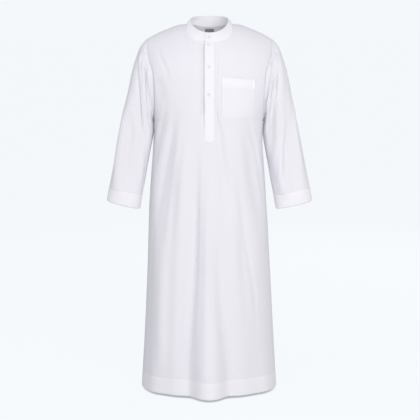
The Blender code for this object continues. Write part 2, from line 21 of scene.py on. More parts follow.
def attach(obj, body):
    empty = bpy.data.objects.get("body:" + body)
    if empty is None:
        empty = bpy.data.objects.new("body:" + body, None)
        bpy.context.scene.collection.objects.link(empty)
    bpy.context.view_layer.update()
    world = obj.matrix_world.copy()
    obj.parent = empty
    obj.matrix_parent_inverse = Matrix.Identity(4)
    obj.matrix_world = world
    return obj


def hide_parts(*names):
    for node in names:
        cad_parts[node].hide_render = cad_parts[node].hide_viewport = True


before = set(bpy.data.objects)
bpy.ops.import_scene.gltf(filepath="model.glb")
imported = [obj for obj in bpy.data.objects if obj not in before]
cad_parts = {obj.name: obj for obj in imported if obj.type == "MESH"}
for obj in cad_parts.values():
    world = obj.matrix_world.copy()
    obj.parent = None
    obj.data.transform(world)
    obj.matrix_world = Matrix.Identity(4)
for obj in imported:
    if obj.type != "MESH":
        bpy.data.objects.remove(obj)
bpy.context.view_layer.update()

Array = np.ndarray
Sizes = tuple[float, ...]
Pair = tuple[float, float]
Place = tuple[float, float, float]
log = logging.getLogger("thobe")

BODY = "root"
MM = 0.001
TINY = 1e-12

# ---- driving sizes
HEM_Z = -1.402
HEM_DEPTH = 0.062
STITCH_Z = HEM_Z + HEM_DEPTH
UNDERARM_Z = -0.365
CHEST_Z = -0.200
CHEST_HALF = 0.250
FAR_SIDE = 0.999
SEAM_Y = -0.031
TIP_X = 0.236
NECK_HALF = 0.089
NECK_FRONT = 0.056
NECK_BACK = 0.1085
SLIT = 0.008
SLIT_END_Z = -0.425

WALL = 0.7 * MM
HEM_WALL = 1.6 * MM
STAND_WALL = 2.2 * MM
SEAM_HOLD = 9.0 * MM
FURROW = 0.45 * MM
FURROW_WIDTH = 2.4 * MM
WELD = 0.005 * MM
SLACK = 1e-6


# ---- curves
def through(keys: Sequence[float], values: Array, at: Array) -> Array:
    """Values on a smooth curve through the rows of a table.

    Args:
        keys: The table's first column, rising or falling.
        values: One value, or one array of values, for each key.
        at: Where to read, in the keys' own unit.

    Returns:
        The values there, with the shape of ``at`` followed by that of one value.
    """
    keys, values = np.asarray(keys, float), np.asarray(values, float)
    if keys[0] > keys[-1]:
        keys, values = keys[::-1], values[::-1]
    last = len(keys) - 1
    rows = np.arange(last + 1)
    below, above = np.maximum(rows - 1, 0), np.minimum(rows + 1, last)
    wide = (-1,) + (1,) * (values.ndim - 1)
    slopes = (values[above] - values[below]) / (keys[above] - keys[below]).reshape(wide)
    at = np.clip(at, keys[0], keys[-1])
    low = np.clip(np.searchsorted(keys, at, side="right") - 1, 0, last - 1)
    span = (keys[low + 1] - keys[low]).reshape(low.shape + wide[1:])
    part = (at - keys[low]).reshape(low.shape + wide[1:]) / span
    start, finish = slopes[low] * span, slopes[low + 1] * span
    rise = values[low + 1] - values[low]
    bend = (3 * rise - 2 * start - finish) * part**2 + (start + finish - 2 * rise) * part**3
    return values[low] + start * part + bend


def mix(low: Array, high: Array, part: Array) -> Array:
    """Value a part of the way from low to high."""
    return low + (high - low) * part


def smooth(part: Array) -> Array:
    """Part from 0 to 1 with soft ends."""
    part = np.clip(part, 0.0, 1.0)
    return part * part * (3.0 - 2.0 * part)


def bump(away: Array, width: float | Array) -> Array:
    """A soft hump that is 1 in the middle and 0 from its width on."""
    return np.cos(np.pi / 2 * np.clip(np.abs(away) / width, 0.0, 1.0)) ** 2


def trough(away: Array, width: float) -> Array:
    """A bell that is 1 in the middle and about a third at that width."""
    return np.exp(-((away / width) ** 2))


def rolled(away: Array, radius: float) -> Array:
    """How far in a hem's edge rolls at a distance from its fold."""
    short = np.clip(radius - away, 0.0, radius)
    return radius - np.sqrt(radius**2 - 0.97 * short**2)


def nearest(swing: Array, whole: float = math.tau) -> Array:
    """A swing brought within half of the whole turn either way."""
    return swing - whole * np.round(swing / whole)


def stacked(*parts: Array) -> Array:
    """Arrays of one shape, or that spread to one, side by side as the last axis."""
    return np.stack(np.broadcast_arrays(*parts), axis=-1)


def bowed(part: Array, power: Array) -> Array:
    """Height of a squarish arch, 1 in its middle, at a part of its half width."""
    return (1.0 - np.minimum(part, 1.0) ** power) ** (1 / power)


def unit(vectors: Array) -> Array:
    """The same vectors, each one long."""
    return vectors / np.maximum(np.linalg.norm(vectors, axis=-1, keepdims=True), TINY)


def run_of(points: Array, axis: int = 0) -> Array:
    """Distance so far along the lines of points that run down an axis of a grid."""
    steps = np.cumsum(np.linalg.norm(np.diff(points, axis=axis), axis=-1), axis=axis)
    return np.concatenate((np.zeros_like(steps.take([0], axis)), steps), axis=axis)


def read_line(points: Array, run: Array, places: Array) -> Array:
    """Values of a line at places along its run."""
    return np.stack([np.interp(places, run, points[:, axis]) for axis in range(3)], axis=1)


def normals_of(points: Array) -> Array:
    """Unit normals of a grid, on the side from which columns run right and rows up."""
    return unit(np.cross(np.gradient(points, axis=1), np.gradient(points, axis=0)))


def grid(x: Array, z: Array) -> tuple[Array, Array]:
    """Two grids whose columns lie at x and whose rows lie at z."""
    return np.broadcast_arrays(x[None, :], z[:, None])


@dataclass(frozen=True)
class Curve:
    """A smooth curve through a few sizes."""

    keys: Sizes
    values: Sizes

    def at(self, where: Array) -> Array:
        """The curve's value at one place or at many."""
        return through(self.keys, np.array(self.values), np.asarray(where, float))


# ---- the body's form
@dataclass(frozen=True)
class Fold:
    """A deep fold of a panel from one (x, z) to another; depths above zero stand out."""

    x_start: float
    z_start: float
    x_end: float
    z_end: float
    width: float
    middle: float
    end: float


def folds(rows: Sequence[Sizes]) -> tuple[Fold, ...]:
    """Folds from rows of sizes in mm, in the order of a fold's fields."""
    return tuple(Fold(*(size * MM for size in row)) for row in rows)


@dataclass(frozen=True)
class Crease:
    """A small crease along (x, z) points; a depth above zero is a ridge."""

    path: tuple[Pair, ...]
    width: float
    depth: float
    spread: float
    fade_in: float
    fade_out: float

    def lift(self, x: Array, z: Array) -> Array:
        """How far the crease lifts the cloth, with its ends faded in and out.

        Args:
            x: Places across the cloth.
            z: Heights of the same places.

        Returns:
            The lift in metres.
        """
        ends = np.array(self.path)
        so_far = run_of(ends)
        best, place = np.full(np.shape(x), np.inf), np.zeros(np.shape(x))
        for (x_low, z_low), line, start, run in zip(ends, np.diff(ends, axis=0), so_far, np.diff(so_far)):
            x_step, z_step = line / run
            along = np.clip((x - x_low) * x_step + (z - z_low) * z_step, 0.0, run)
            away = np.hypot(x - x_low - along * x_step, z - z_low - along * z_step)
            place = np.where(away < best, (start + along) / so_far[-1], place)
            best = np.minimum(best, away)
        fade = smooth(place / self.fade_in) * smooth((1.0 - place) / self.fade_out)
        return self.depth * fade * bump(best, self.width * mix(1.0, self.spread, place))


def creases(rows: Sequence[tuple], scale: float = MM, fades: Pair = (0.35, 0.35)) -> tuple[Crease, ...]:
    """Creases from rows of a table.

    Args:
        rows: For each its width and depth in mm, its spread and its path's points.
        scale: Size of the unit that the points are in.
        fades: Parts of the path over which the crease fades in and out.

    Returns:
        The creases.
    """
    return tuple(
        Crease(tuple((x * scale, z * scale) for x, z in path), width * MM, depth * MM, spread, *fades)
        for width, depth, spread, *path in rows
    )


SECTION_Z = (-0.200, -0.290, -0.365, -0.450, -0.560, -0.690, -0.940, -1.190, -1.402)
ARMHOLE_Z = (-0.200, -0.255, -0.310, -0.365)


@dataclass(frozen=True)
class BodyForm:
    """Outer surface of the robe's body: sections below the chest, an arch above it."""

    half: Curve = Curve(SECTION_Z, (0.250, 0.228, 0.210, 0.209, 0.217, 0.226, 0.238, 0.251, 0.264))
    front: Curve = Curve(SECTION_Z, (0.128, 0.132, 0.134, 0.136, 0.139, 0.143, 0.155, 0.171, 0.190))
    back: Curve = Curve(SECTION_Z, (0.124, 0.124, 0.121, 0.118, 0.118, 0.124, 0.142, 0.155, 0.166))
    square: Curve = Curve(SECTION_Z, (2.40, 2.40, 2.35, 2.30, 2.25, 2.20, 2.20, 2.20, 2.20))
    shift: Curve = Curve(SECTION_Z, (0.0, -0.001, -0.003, -0.006, -0.006, -0.006, -0.003, -0.002, -0.002))
    shoulder: Curve = Curve(
        (0.000, 0.045, 0.089, 0.120, 0.160, 0.200, 0.240), (0.020, 0.013, 0.000, -0.004, -0.019, -0.036, -0.058)
    )
    armhole_front: Curve = Curve(ARMHOLE_Z, (0.2140, 0.2110, 0.2095, 0.2100))
    armhole_back: Curve = Curve(ARMHOLE_Z, (0.2235, 0.2190, 0.2145, 0.2100))
    full_front: float = 1.6
    full_back: float = 2.5
    neck_front: float = 2.6
    neck_back: float = 2.3
    homing_steps: int = 5
    front_folds: tuple[Fold, ...] = folds((
        (0, -440, -2, -1402, 90, 16, 56),
        (-42, -430, -62, -1402, 44, -9, -2),
        (22, -700, 66, -1402, 42, -8, -1),
        (-82, -240, -128, -1402, 50, 10, 3),
        (-108, -230, -178, -960, 46, -6, 0),
        (-150, -240, -198, -860, 52, -8, 0),
        (24, -250, 80, -860, 42, -9, 0),
        (60, -330, 112, -1402, 48, 9, 3),
        (132, -280, 206, -860, 46, -11, 0),
        (96, -440, 184, -1402, 48, -3, -4),
        (160, -520, 222, -1402, 48, 2, 2),
        (-180, -560, -214, -1402, 48, 7, 5),
    ))
    back_folds: tuple[Fold, ...] = folds((
        (-18, -300, -34, -1402, 70, 14, 34),
        (56, -260, 58, -1402, 48, -9, -14),
        (112, -360, 140, -1402, 56, 11, 22),
        (-84, -340, -102, -1402, 46, -9, -12),
        (-128, -330, -164, -1402, 56, 11, 24),
        (176, -320, 204, -1150, 46, -8, 0),
        (-176, -360, -210, -1050, 44, -7, 0),
    ))

    def deep_at(self, z: Array, behind: Array) -> Array:
        """Greatest reach of the body from its axis, forwards or backwards."""
        return np.where(behind, self.back.at(z), self.front.at(z))

    def full_at(self, behind: Array) -> Array:
        """How full the arch over the shoulder is, as a power."""
        return np.where(behind, self.full_back, self.full_front)

    def plain_radius(self, z: Array, turn: Array) -> Array:
        """Distance from the axis to the unfolded body.

        Args:
            z: Heights.
            turn: Turns from the middle front.

        Returns:
            The distances.
        """
        side, ahead = np.abs(np.sin(turn)) / self.half.at(z), np.cos(turn)
        ahead = np.abs(ahead) / self.deep_at(z, ahead <= 0)
        square = self.square.at(z)
        return (side**square + ahead**square) ** (-1 / square)

    def turn_at(self, z: Array, x: Array, behind: bool) -> Array:
        """Turn at which the unfolded body passes x on its front or its back.

        Args:
            z: Heights.
            x: Places across the body.
            behind: True for the back.

        Returns:
            The turns from the middle front.
        """
        out = x - self.shift.at(z)
        ahead = self.deep_at(z, behind) * bowed(np.abs(out) / self.half.at(z), self.square.at(z))
        turn = np.arctan2(np.abs(out), ahead)
        return np.copysign(np.pi - turn if behind else turn, out)

    def fold_depth(self, z: Array, turn: Array) -> Array:
        """How far the deep folds push the body out.

        Args:
            z: Heights.
            turn: Turns from the middle front.

        Returns:
            The sum of the folds there.
        """
        radius = self.plain_radius(z, turn)
        total = np.zeros(np.broadcast(z, turn).shape)
        for behind, side in ((False, self.front_folds), (True, self.back_folds)):
            for fold in side:
                along = (fold.z_start - z) / (fold.z_start - fold.z_end)
                if np.all(along <= 0):
                    continue
                crest = self.turn_at(z, mix(fold.x_start, fold.x_end, along), behind)
                rising = fold.middle * smooth(2 * along)
                falling = mix(fold.middle, fold.end, smooth(2 * along - 1))
                depth = np.where(along < 0.5, rising, falling) * ((along > 0) & (along <= 1.0))
                total += depth * bump(nearest(turn - crest) * radius, fold.width)
        return total

    def body_point(self, z: Array, turn: Array) -> Array:
        """Points of the folded body at heights and turns from the middle front."""
        radius = self.plain_radius(z, turn) + self.fold_depth(z, turn)
        return stacked(self.shift.at(z) + radius * np.sin(turn), -radius * np.cos(turn), z)

    def chest_depth(self, x: Array, behind: Array) -> Array:
        """Reach of the body from the axis at the chest, at distances from the middle."""
        across = np.minimum(np.abs(x) / self.half.at(CHEST_Z), FAR_SIDE)
        return self.deep_at(CHEST_Z, behind) * bowed(across, self.square.at(CHEST_Z))

    def arch_turn(self, x: Array, y: Array) -> Array:
        """Angle up the arch over the shoulder at which it passes y."""
        ratio = np.minimum(np.abs(y) / self.chest_depth(x, y > 0), 1.0)
        return np.arccos(ratio ** (self.full_at(y > 0) / 2))

    def arch_point(self, x: Array, rise: Array, behind: Array) -> Array:
        """Points of the arch over the shoulders.

        Args:
            x: Distances from the middle.
            rise: Angles up the arch; past a right angle they come down the other side.
            behind: True for the back.

        Returns:
            The points.
        """
        behind = np.logical_xor(behind, rise > np.pi / 2)
        rise = np.minimum(rise, np.pi - rise)
        power = 2 / self.full_at(behind)
        y = self.chest_depth(x, behind) * np.maximum(np.cos(rise), 0.0) ** power
        z = mix(CHEST_Z, self.shoulder.at(np.abs(x)), np.maximum(np.sin(rise), 0.0) ** power)
        return stacked(x, np.where(behind, y, -y), z)

    def neck_plan(self, turn: Array) -> tuple[Array, Array]:
        """Place of the neck edge in plan.

        Args:
            turn: Turns from the middle front.

        Returns:
            The edge's x and y.
        """
        x, in_front = NECK_HALF * np.sin(turn), np.cos(turn) > 0
        bow = bowed(np.abs(x) / NECK_HALF, np.where(in_front, self.neck_front, self.neck_back))
        return x, SEAM_Y + bow * np.where(in_front, -NECK_FRONT, NECK_BACK)

    def neck_point(self, turn: Array) -> Array:
        """Points of the neck edge on the body at turns from the middle front."""
        x, y = self.neck_plan(turn)
        return self.arch_point(x, self.arch_turn(x, y), y > 0)

    def neck_height(self, x: Array, behind: bool = False) -> Array:
        """Height of the neck edge at a distance from the middle."""
        turn = np.arcsin(np.clip(x / NECK_HALF, -1.0, 1.0))
        return self.neck_point(np.pi - turn if behind else turn)[..., 2]

    def depth_at(self, x: Array, z: Array, behind: bool) -> Array:
        """The body's y near the middle of its front or its back.

        Args:
            x: Distances from the middle.
            z: Heights.
            behind: True for the back.

        Returns:
            The y of the outer surface there.
        """
        low = np.minimum(z, CHEST_Z)
        turn = self.turn_at(low, x, behind)
        for _ in range(self.homing_steps):
            point = self.body_point(low, turn)
            turn = turn + (x - point[..., 0]) / (np.hypot(point[..., 0], point[..., 1]) * np.cos(turn))
        part = np.clip((z - CHEST_Z) / (self.shoulder.at(np.abs(x)) - CHEST_Z), 0.0, 1.0)
        arch = self.arch_point(x, np.arcsin(part ** (self.full_at(behind) / 2)), behind)[..., 1]
        return np.where(z > CHEST_Z, arch, self.body_point(low, turn)[..., 1])


@dataclass(frozen=True)
class Creasing:
    """The small creases of one side of the robe's body, and how its chest is eased."""

    creases: tuple[Crease, ...]
    ease: Curve = Curve((-1.0, 1.0), (0.0, 0.0))

    def lift(self, x: Array, z: Array) -> Array:
        """Sum of what the creases add at each place."""
        ease = self.ease.at(z) * np.sqrt(1.0 - np.minimum(np.abs(x) / CHEST_HALF, 1.0) ** 2)
        return ease + sum(crease.lift(x, z) for crease in self.creases)


CHEST_EASE = Curve(
    (-0.2400, -0.2280, -0.2180, -0.2100, -0.2040, -0.2015, -0.2000, -0.1985, -0.1960, -0.1920, -0.1860, -0.1780,
     -0.1660, -0.1460, -0.1100),
    (0.000000, -0.000003, -0.000022, -0.000081, -0.000184, -0.000250, -0.000298, -0.000367, -0.000437,
     -0.000486, -0.000490, -0.000450, -0.000314, -0.000193, 0.000000),
)
FRONT_CREASES = Creasing(creases((
    (9, -2.0, 1.6, (-205, -79), (-185, -119), (-163, -170), (-146, -226)),
    (11, 1.6, 1.4, (-188, -72), (-166, -124), (-143, -178)),
    (26, -3.6, 1.2, (-196, -185), (-184, -240), (-176, -310)),
    (13, -4.4, 1.7, (-122, -286), (-138, -394), (-163, -527), (-184, -650), (-200, -798)),
    (16, 4.6, 1.6, (-98, -300), (-112, -394), (-130, -527), (-144, -650), (-156, -798), (-158, -900)),
    (12, 2.4, 1.3, (-143, -297), (-160, -395), (-184, -502), (-198, -587)),
    (12, -3.4, 1.3, (-156, -270), (-181, -378), (-201, -476), (-211, -576)),
    (46, -6.4, 1.0, (-58, -300), (-76, -820), (-102, -1402)),
    (38, 7.0, 1.0, (-153, -600), (-162, -827), (-170, -980), (-178, -1133), (-186, -1330), (-188, -1402)),
    (15, -5.0, 2.2, (-42, -400), (-48, -580), (-54, -791), (-66, -1034), (-88, -1243), (-98, -1400)),
    (20, 2.6, 1.2, (-6, -467), (-8, -729), (-10, -1029), (-14, -1402)),
    (9, -3.2, 1.6, (9, -215), (17, -303), (38, -400), (53, -562), (60, -712)),
    (12, 2.4, 1.5, (26, -251), (40, -325), (60, -411), (76, -524), (86, -657)),
    (10, -3.8, 1.5, (132, -290), (160, -415), (184, -514), (204, -650), (212, -763)),
    (14, -3.0, 1.2, (94, -502), (115, -639), (134, -796), (154, -912), (172, -1019), (182, -1244)),
    (17, -2.2, 1.4, (26, -760), (34, -904), (38, -1010), (49, -1184), (57, -1330)),
    (5, -1.2, 1.0, (39, -200), (41, -281), (44, -350)),
    (28, 3.4, 1.3, (-184, -760), (-188, -1000), (-190, -1130), (-190, -1402)),
    (34, -6.0, 1.0, (-90, -640), (-99, -800), (-107, -980), (-113, -1133), (-118, -1300), (-124, -1402)),
    (42, -4.4, 1.0, (184, -850), (204, -1100), (218, -1400)),
    (40, 2.6, 1.0, (130, -850), (142, -1100), (150, -1400)),
    (44, -1.8, 1.0, (60, -330), (86, -860), (112, -1402)),
)), CHEST_EASE)
BESIDE_PLACKET = creases((
    (6.5, -6.0, 1.0, (-26, -46), (-26, -200), (-25, -400)),
    (6, -2.0, 1.0, (26, -66), (27, -250), (29, -440)),
), fades=(0.05, 0.25))
PANEL_CREASES = Creasing(FRONT_CREASES.creases + BESIDE_PLACKET, CHEST_EASE)
BACK_CREASES = Creasing(creases((
    (12, -2.5, 1.5, (-190, -110), (-150, -190), (-128, -270)),
    (11, -2.2, 1.5, (188, -100), (152, -180), (140, -250)),
    (15, -4.6, 1.5, (-188, -330), (-150, -480), (-128, -650)),
    (13, -4.0, 1.6, (190, -335), (162, -470), (152, -600), (154, -740)),
    (14, -3.2, 1.4, (-30, -230), (-45, -420), (-54, -660)),
    (18, 3.2, 1.2, (42, -300), (30, -500), (22, -720)),
    (20, 3.0, 1.2, (100, -290), (98, -540)),
    (18, -3.6, 1.4, (8, -760), (16, -1020), (14, -1380)),
    (15, -3.2, 1.3, (-106, -690), (-118, -980)),
    (20, 3.6, 1.3, (118, -860), (134, -1150), (140, -1400)),
    (15, -3.4, 1.4, (-192, -800), (-206, -1120)),
)))


# ---- mesh helpers
def grid_mesh(points: Array, flat: Array, layers: Array, closed: bool = False, flip: bool = False) -> BMesh:
    """A sheet laid through a grid of points.

    Args:
        points: Rows by columns by 3 coordinates.
        flat: The same places on the flat cut, rows by columns by 2, in metres.
        layers: How doubled the cloth is at each place, from 0 to 1.
        closed: True where the last column meets the first.
        flip: True to turn the faces round.

    Returns:
        The sheet, with its flat places as UVs and its layers as an attribute.
    """
    rows, columns = points.shape[:2]
    sheet = bmesh.new()
    cut = sheet.loops.layers.uv.new("cut")
    doubled = sheet.verts.layers.float.new("layers")
    bmesh.ops.create_grid(sheet, x_segments=columns - 1, y_segments=rows - 1, size=1.0)
    sheet.verts.index_update()
    for vertex, place, depth in zip(sheet.verts, points.reshape(-1, 3).tolist(), layers.ravel().tolist()):
        vertex.co = place
        vertex[doubled] = depth
    spots = flat.reshape(-1, 2).tolist()
    for face in sheet.faces:
        for loop in face.loops:
            loop[cut].uv = spots[loop.vert.index]
    if flip:
        bmesh.ops.reverse_faces(sheet, faces=sheet.faces[:])
    if closed:
        bmesh.ops.remove_doubles(sheet, verts=sheet.verts[:], dist=WELD)
    sheet.normal_update()
    return sheet


def link(name: str, data: bpy.types.ID) -> Object:
    """A new object, put into the scene.

    Args:
        name: The object's name.
        data: Its mesh, lamp or camera.

    Returns:
        The object.
    """
    made = bpy.data.objects.new(name, data)
    bpy.context.scene.collection.objects.link(made)
    return made


def mesh_of(name: str, shape: BMesh) -> bpy.types.Mesh:
    """A mesh of a shape.

    Args:
        name: The mesh's name.
        shape: The shape, which is freed.

    Returns:
        The mesh.
    """
    data = bpy.data.meshes.new(name)
    shape.to_mesh(data)
    shape.free()
    return data


def add_piece(name: str, shape: BMesh, material: Material, slot: str, *nodes: str) -> Object:
    """A piece of the robe.

    Args:
        name: The piece's name.
        shape: Its shape, which is freed.
        material: Its finish.
        slot: Not used.
        nodes: The solids that it stands for.

    Returns:
        The new object, which rides with the robe.
    """
    piece = link(name, mesh_of(name, shape))
    piece.data.materials.append(material)
    piece.data.shade_smooth()
    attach(piece, BODY)
    if nodes:
        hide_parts(*nodes)
    return piece


def bake_modifiers(piece: Object, sharp: float = math.radians(50)) -> None:
    """Make what a piece's modifiers give into its own mesh.

    Args:
        piece: The piece.
        sharp: Angle between faces from which an edge stays crisp.
    """
    old = piece.data
    made = bpy.data.meshes.new_from_object(piece.evaluated_get(bpy.context.evaluated_depsgraph_get()))
    piece.modifiers.clear()
    piece.vertex_groups.clear()
    piece.data = made
    bpy.data.meshes.remove(old)
    made.name = piece.name
    made.shade_smooth()
    made.set_sharp_from_angle(angle=sharp)


@dataclass
class Wall:
    """Thickness given to a sheet, with its edges rounded off in two steps."""

    thickness: float
    rounding: float = 0.2 * MM
    thin: float | None = None
    outwards: bool = False
    edge_angle: float = math.radians(55)

    def apply(self, piece: Object, thick: Sequence[int] = ()) -> None:
        """Grow the wall on a piece and make it the piece's own mesh.

        Args:
            piece: The sheet's object.
            thick: Vertices with the whole thickness, where the rest is thin.
        """
        solid = piece.modifiers.new("wall", "SOLIDIFY")
        solid.thickness = self.thickness
        solid.offset = 1.0 if self.outwards else -1.0
        if self.thin is not None:
            group = piece.vertex_groups.new(name="doubled")
            group.add(list(thick), 1.0, "REPLACE")
            solid.vertex_group = group.name
            solid.thickness_vertex_group = self.thin / self.thickness
        edge = piece.modifiers.new("edge", "BEVEL")
        edge.width = self.rounding
        edge.segments = 2
        edge.limit_method = "ANGLE"
        edge.angle_limit = self.edge_angle
        bake_modifiers(piece)


# ---- finishes
def linear(code: str) -> tuple[float, float, float, float]:
    """Linear colour of an sRGB value.

    Args:
        code: The value in hex after a hash.

    Returns:
        Red, green, blue and an alpha of 1.
    """
    parts = [int(code[index : index + 2], 16) / 255 for index in (1, 3, 5)]
    red, green, blue = (p / 12.92 if p <= 0.04045 else ((p + 0.055) / 1.055) ** 2.4 for p in parts)
    return red, green, blue, 1.0


def node(
    tree: NodeTree, kind: str, inputs: dict | None = None, out: int | str = 0, **settings: object
) -> NodeSocket | None:
    """Add a node with its settings, values and links.

    Args:
        tree: The node tree.
        kind: The node's type name after its prefix.
        inputs: For each socket, by name or number, a value or an output to link.
        out: The output that is wanted, by name or number.
        settings: The node's own properties.

    Returns:
        That output, or None for a node without outputs.
    """
    made = tree.nodes.new("ShaderNode" + kind)
    for key, value in settings.items():
        setattr(made, key, value)
    for key, value in (inputs or {}).items():
        if isinstance(value, NodeSocket):
            tree.links.new(value, made.inputs[key])
        else:
            made.inputs[key].default_value = value
    return made.outputs[out] if made.outputs else None


def blank(name: str) -> tuple[Material, NodeTree]:
    """A material with an empty node tree.

    Args:
        name: The material's name.

    Returns:
        The material and its tree.
    """
    made = bpy.data.materials.new(name)
    made.use_nodes = True
    made.node_tree.nodes.clear()
    return made, made.node_tree


def band_scale(spacing: float) -> float:
    """Wave texture scale whose bands lie that far apart, in metres."""
    return math.tau / (20.0 * spacing)


@dataclass(frozen=True)
class Shirting:
    """Cotton and polyester shirting, plain woven, bleached and pressed.

    Close even threads scatter light softly with no gloss. One layer lets some of it
    through, so doubled hems and plackets look whiter than the cloth beside them. The
    threads are drawn a few times coarser than they are, so that they show.
    """

    name: str = "cotton_shirting"
    single: str = "#EEEDF3"
    doubled: str = "#EFEEF3"
    thread_spacing: float = 0.9 * MM
    see_through: float = 0.17
    weave_depth: float = 0.05 * MM
    # Slubs about 2.4 mm wide and 38 mm long, and soft unevenness about every 48 mm.
    slubs_per_metre: Place = (420.0, 26.0, 1.0)
    eases_per_metre: float = 21.0
    ease_depth: float = 0.9 * MM

    def build(self) -> Material:
        """Make the material, which reads the piece's cut and its layers.

        Returns:
            The material.
        """
        material, tree = blank(self.name)
        cut = node(tree, "UVMap", uv_map="cut")
        layers = node(tree, "Attribute", out="Fac", attribute_name="layers")
        threads = {"Vector": cut, "Scale": band_scale(self.thread_spacing)}
        threads |= {"Distortion": 0.6, "Detail": 1.0, "Detail Scale": 0.4}
        waves = [node(tree, "TexWave", threads, "Fac", bands_direction=way) for way in ("X", "Y")]
        weave = node(tree, "Math", dict(enumerate(waves)), operation="MULTIPLY")
        stretched = node(tree, "Mapping", {"Vector": cut, "Scale": self.slubs_per_metre})
        slub = node(tree, "TexNoise", {"Vector": stretched, "Scale": 1.0, "Detail": 3.0}, "Fac")
        eased = node(tree, "TexNoise", {"Vector": cut, "Scale": self.eases_per_metre, "Detail": 2.0}, "Fac")
        height = node(tree, "Math", {0: slub, 1: 0.5, 2: weave}, operation="MULTIPLY_ADD")
        soft = node(tree, "Bump", {"Strength": 0.35, "Distance": self.ease_depth, "Height": eased})
        fine = {"Strength": 0.5, "Distance": self.weave_depth, "Height": height, "Normal": soft}
        normal = node(tree, "Bump", fine)
        tone = node(
            tree, "MapRange", {"Value": slub, "From Min": 0.3, "From Max": 0.7, "To Min": 0.985, "To Max": 1.0}
        )
        colours = {0: layers, 6: linear(self.single), 7: linear(self.doubled)}
        colour = node(tree, "Mix", colours, 2, data_type="RGBA")
        shade = node(tree, "VectorMath", {0: colour, "Scale": tone}, operation="SCALE")
        fibre = {"Base Color": shade, "Roughness": 0.86, "Specular IOR Level": 0.25, "Normal": normal}
        cloth = node(tree, "BsdfPrincipled", fibre | {"Sheen Weight": 0.12, "Sheen Roughness": 0.45})
        glow = node(tree, "BsdfTranslucent", {"Color": shade, "Normal": normal})
        shares = {"Value": layers, "To Min": self.see_through, "To Max": self.see_through / 2}
        both = node(tree, "MixShader", {0: node(tree, "MapRange", shares), 1: cloth, 2: glow})
        node(tree, "OutputMaterial", {"Surface": both})
        return material


@dataclass(frozen=True)
class SewingThread:
    """Spun polyester sewing thread, two plies twisted together.

    The twist catches light along each stitch, a little brighter than the cloth.
    """

    name: str
    colour: str
    ply: float = 0.5 * MM
    ply_depth: float = 0.06 * MM

    def build(self) -> Material:
        """Make the material, with its twist as bands across the stitch.

        Returns:
            The material.
        """
        material, tree = blank(self.name)
        place = node(tree, "TexCoord", out="Object")
        turned = node(tree, "Mapping", {"Vector": place, "Rotation": (0.6, 0.6, 0.6)})
        bands = {"Vector": turned, "Scale": band_scale(self.ply)}
        twist = node(tree, "TexWave", bands, "Fac", bands_direction="DIAGONAL")
        relief = node(tree, "Bump", {"Strength": 0.6, "Distance": self.ply_depth, "Height": twist})
        fibre = {"Base Color": linear(self.colour), "Roughness": 0.55, "Normal": relief}
        thread = node(tree, "BsdfPrincipled", fibre | {"Sheen Weight": 0.25, "Sheen Roughness": 0.35})
        node(tree, "OutputMaterial", {"Surface": thread})
        return material


@dataclass(frozen=True)
class ButtonResin:
    """Cast polyester button resin, turned and tumbled.

    Smooth and milky, with a soft highlight on the rim and faint cloudy bands.
    """

    name: str = "cast_polyester"
    colour: str = "#EAEAF1"
    deeper: str = "#D5D5DE"
    # Clouds about 4 mm apart.
    clouds_per_metre: float = 260.0

    def build(self) -> Material:
        """Make the material, clouded over a few millimetres.

        Returns:
            The material.
        """
        material, tree = blank(self.name)
        place = node(tree, "TexCoord", out="Object")
        clouds = {"Vector": place, "Scale": self.clouds_per_metre, "Detail": 3.0, "Distortion": 1.2}
        cloud = node(tree, "TexNoise", clouds, "Fac")
        colours = {0: cloud, 6: linear(self.colour), 7: linear(self.deeper)}
        milk = {"Base Color": node(tree, "Mix", colours, 2, data_type="RGBA"), "Roughness": 0.28, "IOR": 1.56}
        resin = node(tree, "BsdfPrincipled", milk | {"Coat Weight": 0.25, "Coat Roughness": 0.12})
        node(tree, "OutputMaterial", {"Surface": resin})
        return material


@dataclass(frozen=True)
class Ribbon:
    """Woven ribbon, such as a label or a tape: close weft ribs over a fine warp.

    The ribs run across it as faint matt lines, with painted shade a little darker between them.
    """

    name: str
    colour: str
    # The colour between the ribs, darker as painted shade in the grooves.
    deeper: str
    rib: float = 0.6 * MM
    rib_depth: float = 0.08 * MM

    def build(self) -> Material:
        """Make the material, ribbed along the piece's cut.

        Returns:
            The material.
        """
        material, tree = blank(self.name)
        cut = node(tree, "UVMap", uv_map="cut")
        bands = {"Vector": cut, "Scale": band_scale(self.rib), "Distortion": 0.3}
        ribs = node(tree, "TexWave", bands, "Fac", bands_direction="Y")
        close = {"Vector": cut, "Scale": band_scale(self.rib / 1.5)}
        warp = node(tree, "TexWave", close, "Fac", bands_direction="X")
        height = node(tree, "Math", {0: warp, 1: 0.4, 2: ribs}, operation="MULTIPLY_ADD")
        # The colour follows the ribs: painted shade, darker in the grooves between them.
        colours = {0: ribs, 6: linear(self.deeper), 7: linear(self.colour)}
        tone = node(tree, "Mix", colours, 2, data_type="RGBA")
        relief = node(tree, "Bump", {"Strength": 0.6, "Distance": self.rib_depth, "Height": height})
        fibre = {"Base Color": tone, "Roughness": 0.6, "Normal": relief}
        ribbon = node(tree, "BsdfPrincipled", fibre | {"Sheen Weight": 0.3, "Sheen Roughness": 0.3})
        node(tree, "OutputMaterial", {"Surface": ribbon})
        return material


@dataclass(frozen=True)
class Finishes:
    """Every finish of the robe, each made once."""

    shirting: Material
    thread: Material
    dark_thread: Material
    resin: Material
    label: Material
    tape: Material

    @classmethod
    def make(cls) -> "Finishes":
        """Make every finish.

        Returns:
            The set of them.
        """
        return cls(
            Shirting().build(),
            SewingThread("polyester_thread", "#EDECF0").build(),
            SewingThread("dark_thread", "#4A464E").build(),
            ButtonResin().build(),
            # Each ribbon's second colour is painted shade between its ribs.
            Ribbon("dark_damask_ribbon", "#97919B", "#7A747E").build(),
            Ribbon("white_cotton_tape", "#FBFBFD", "#EFEEF4", rib=1.1 * MM).build(),
        )


# ---- stitches
class Join(Enum):
    """How a row of stitches runs."""

    OPEN = "open"
    RING = "ring"


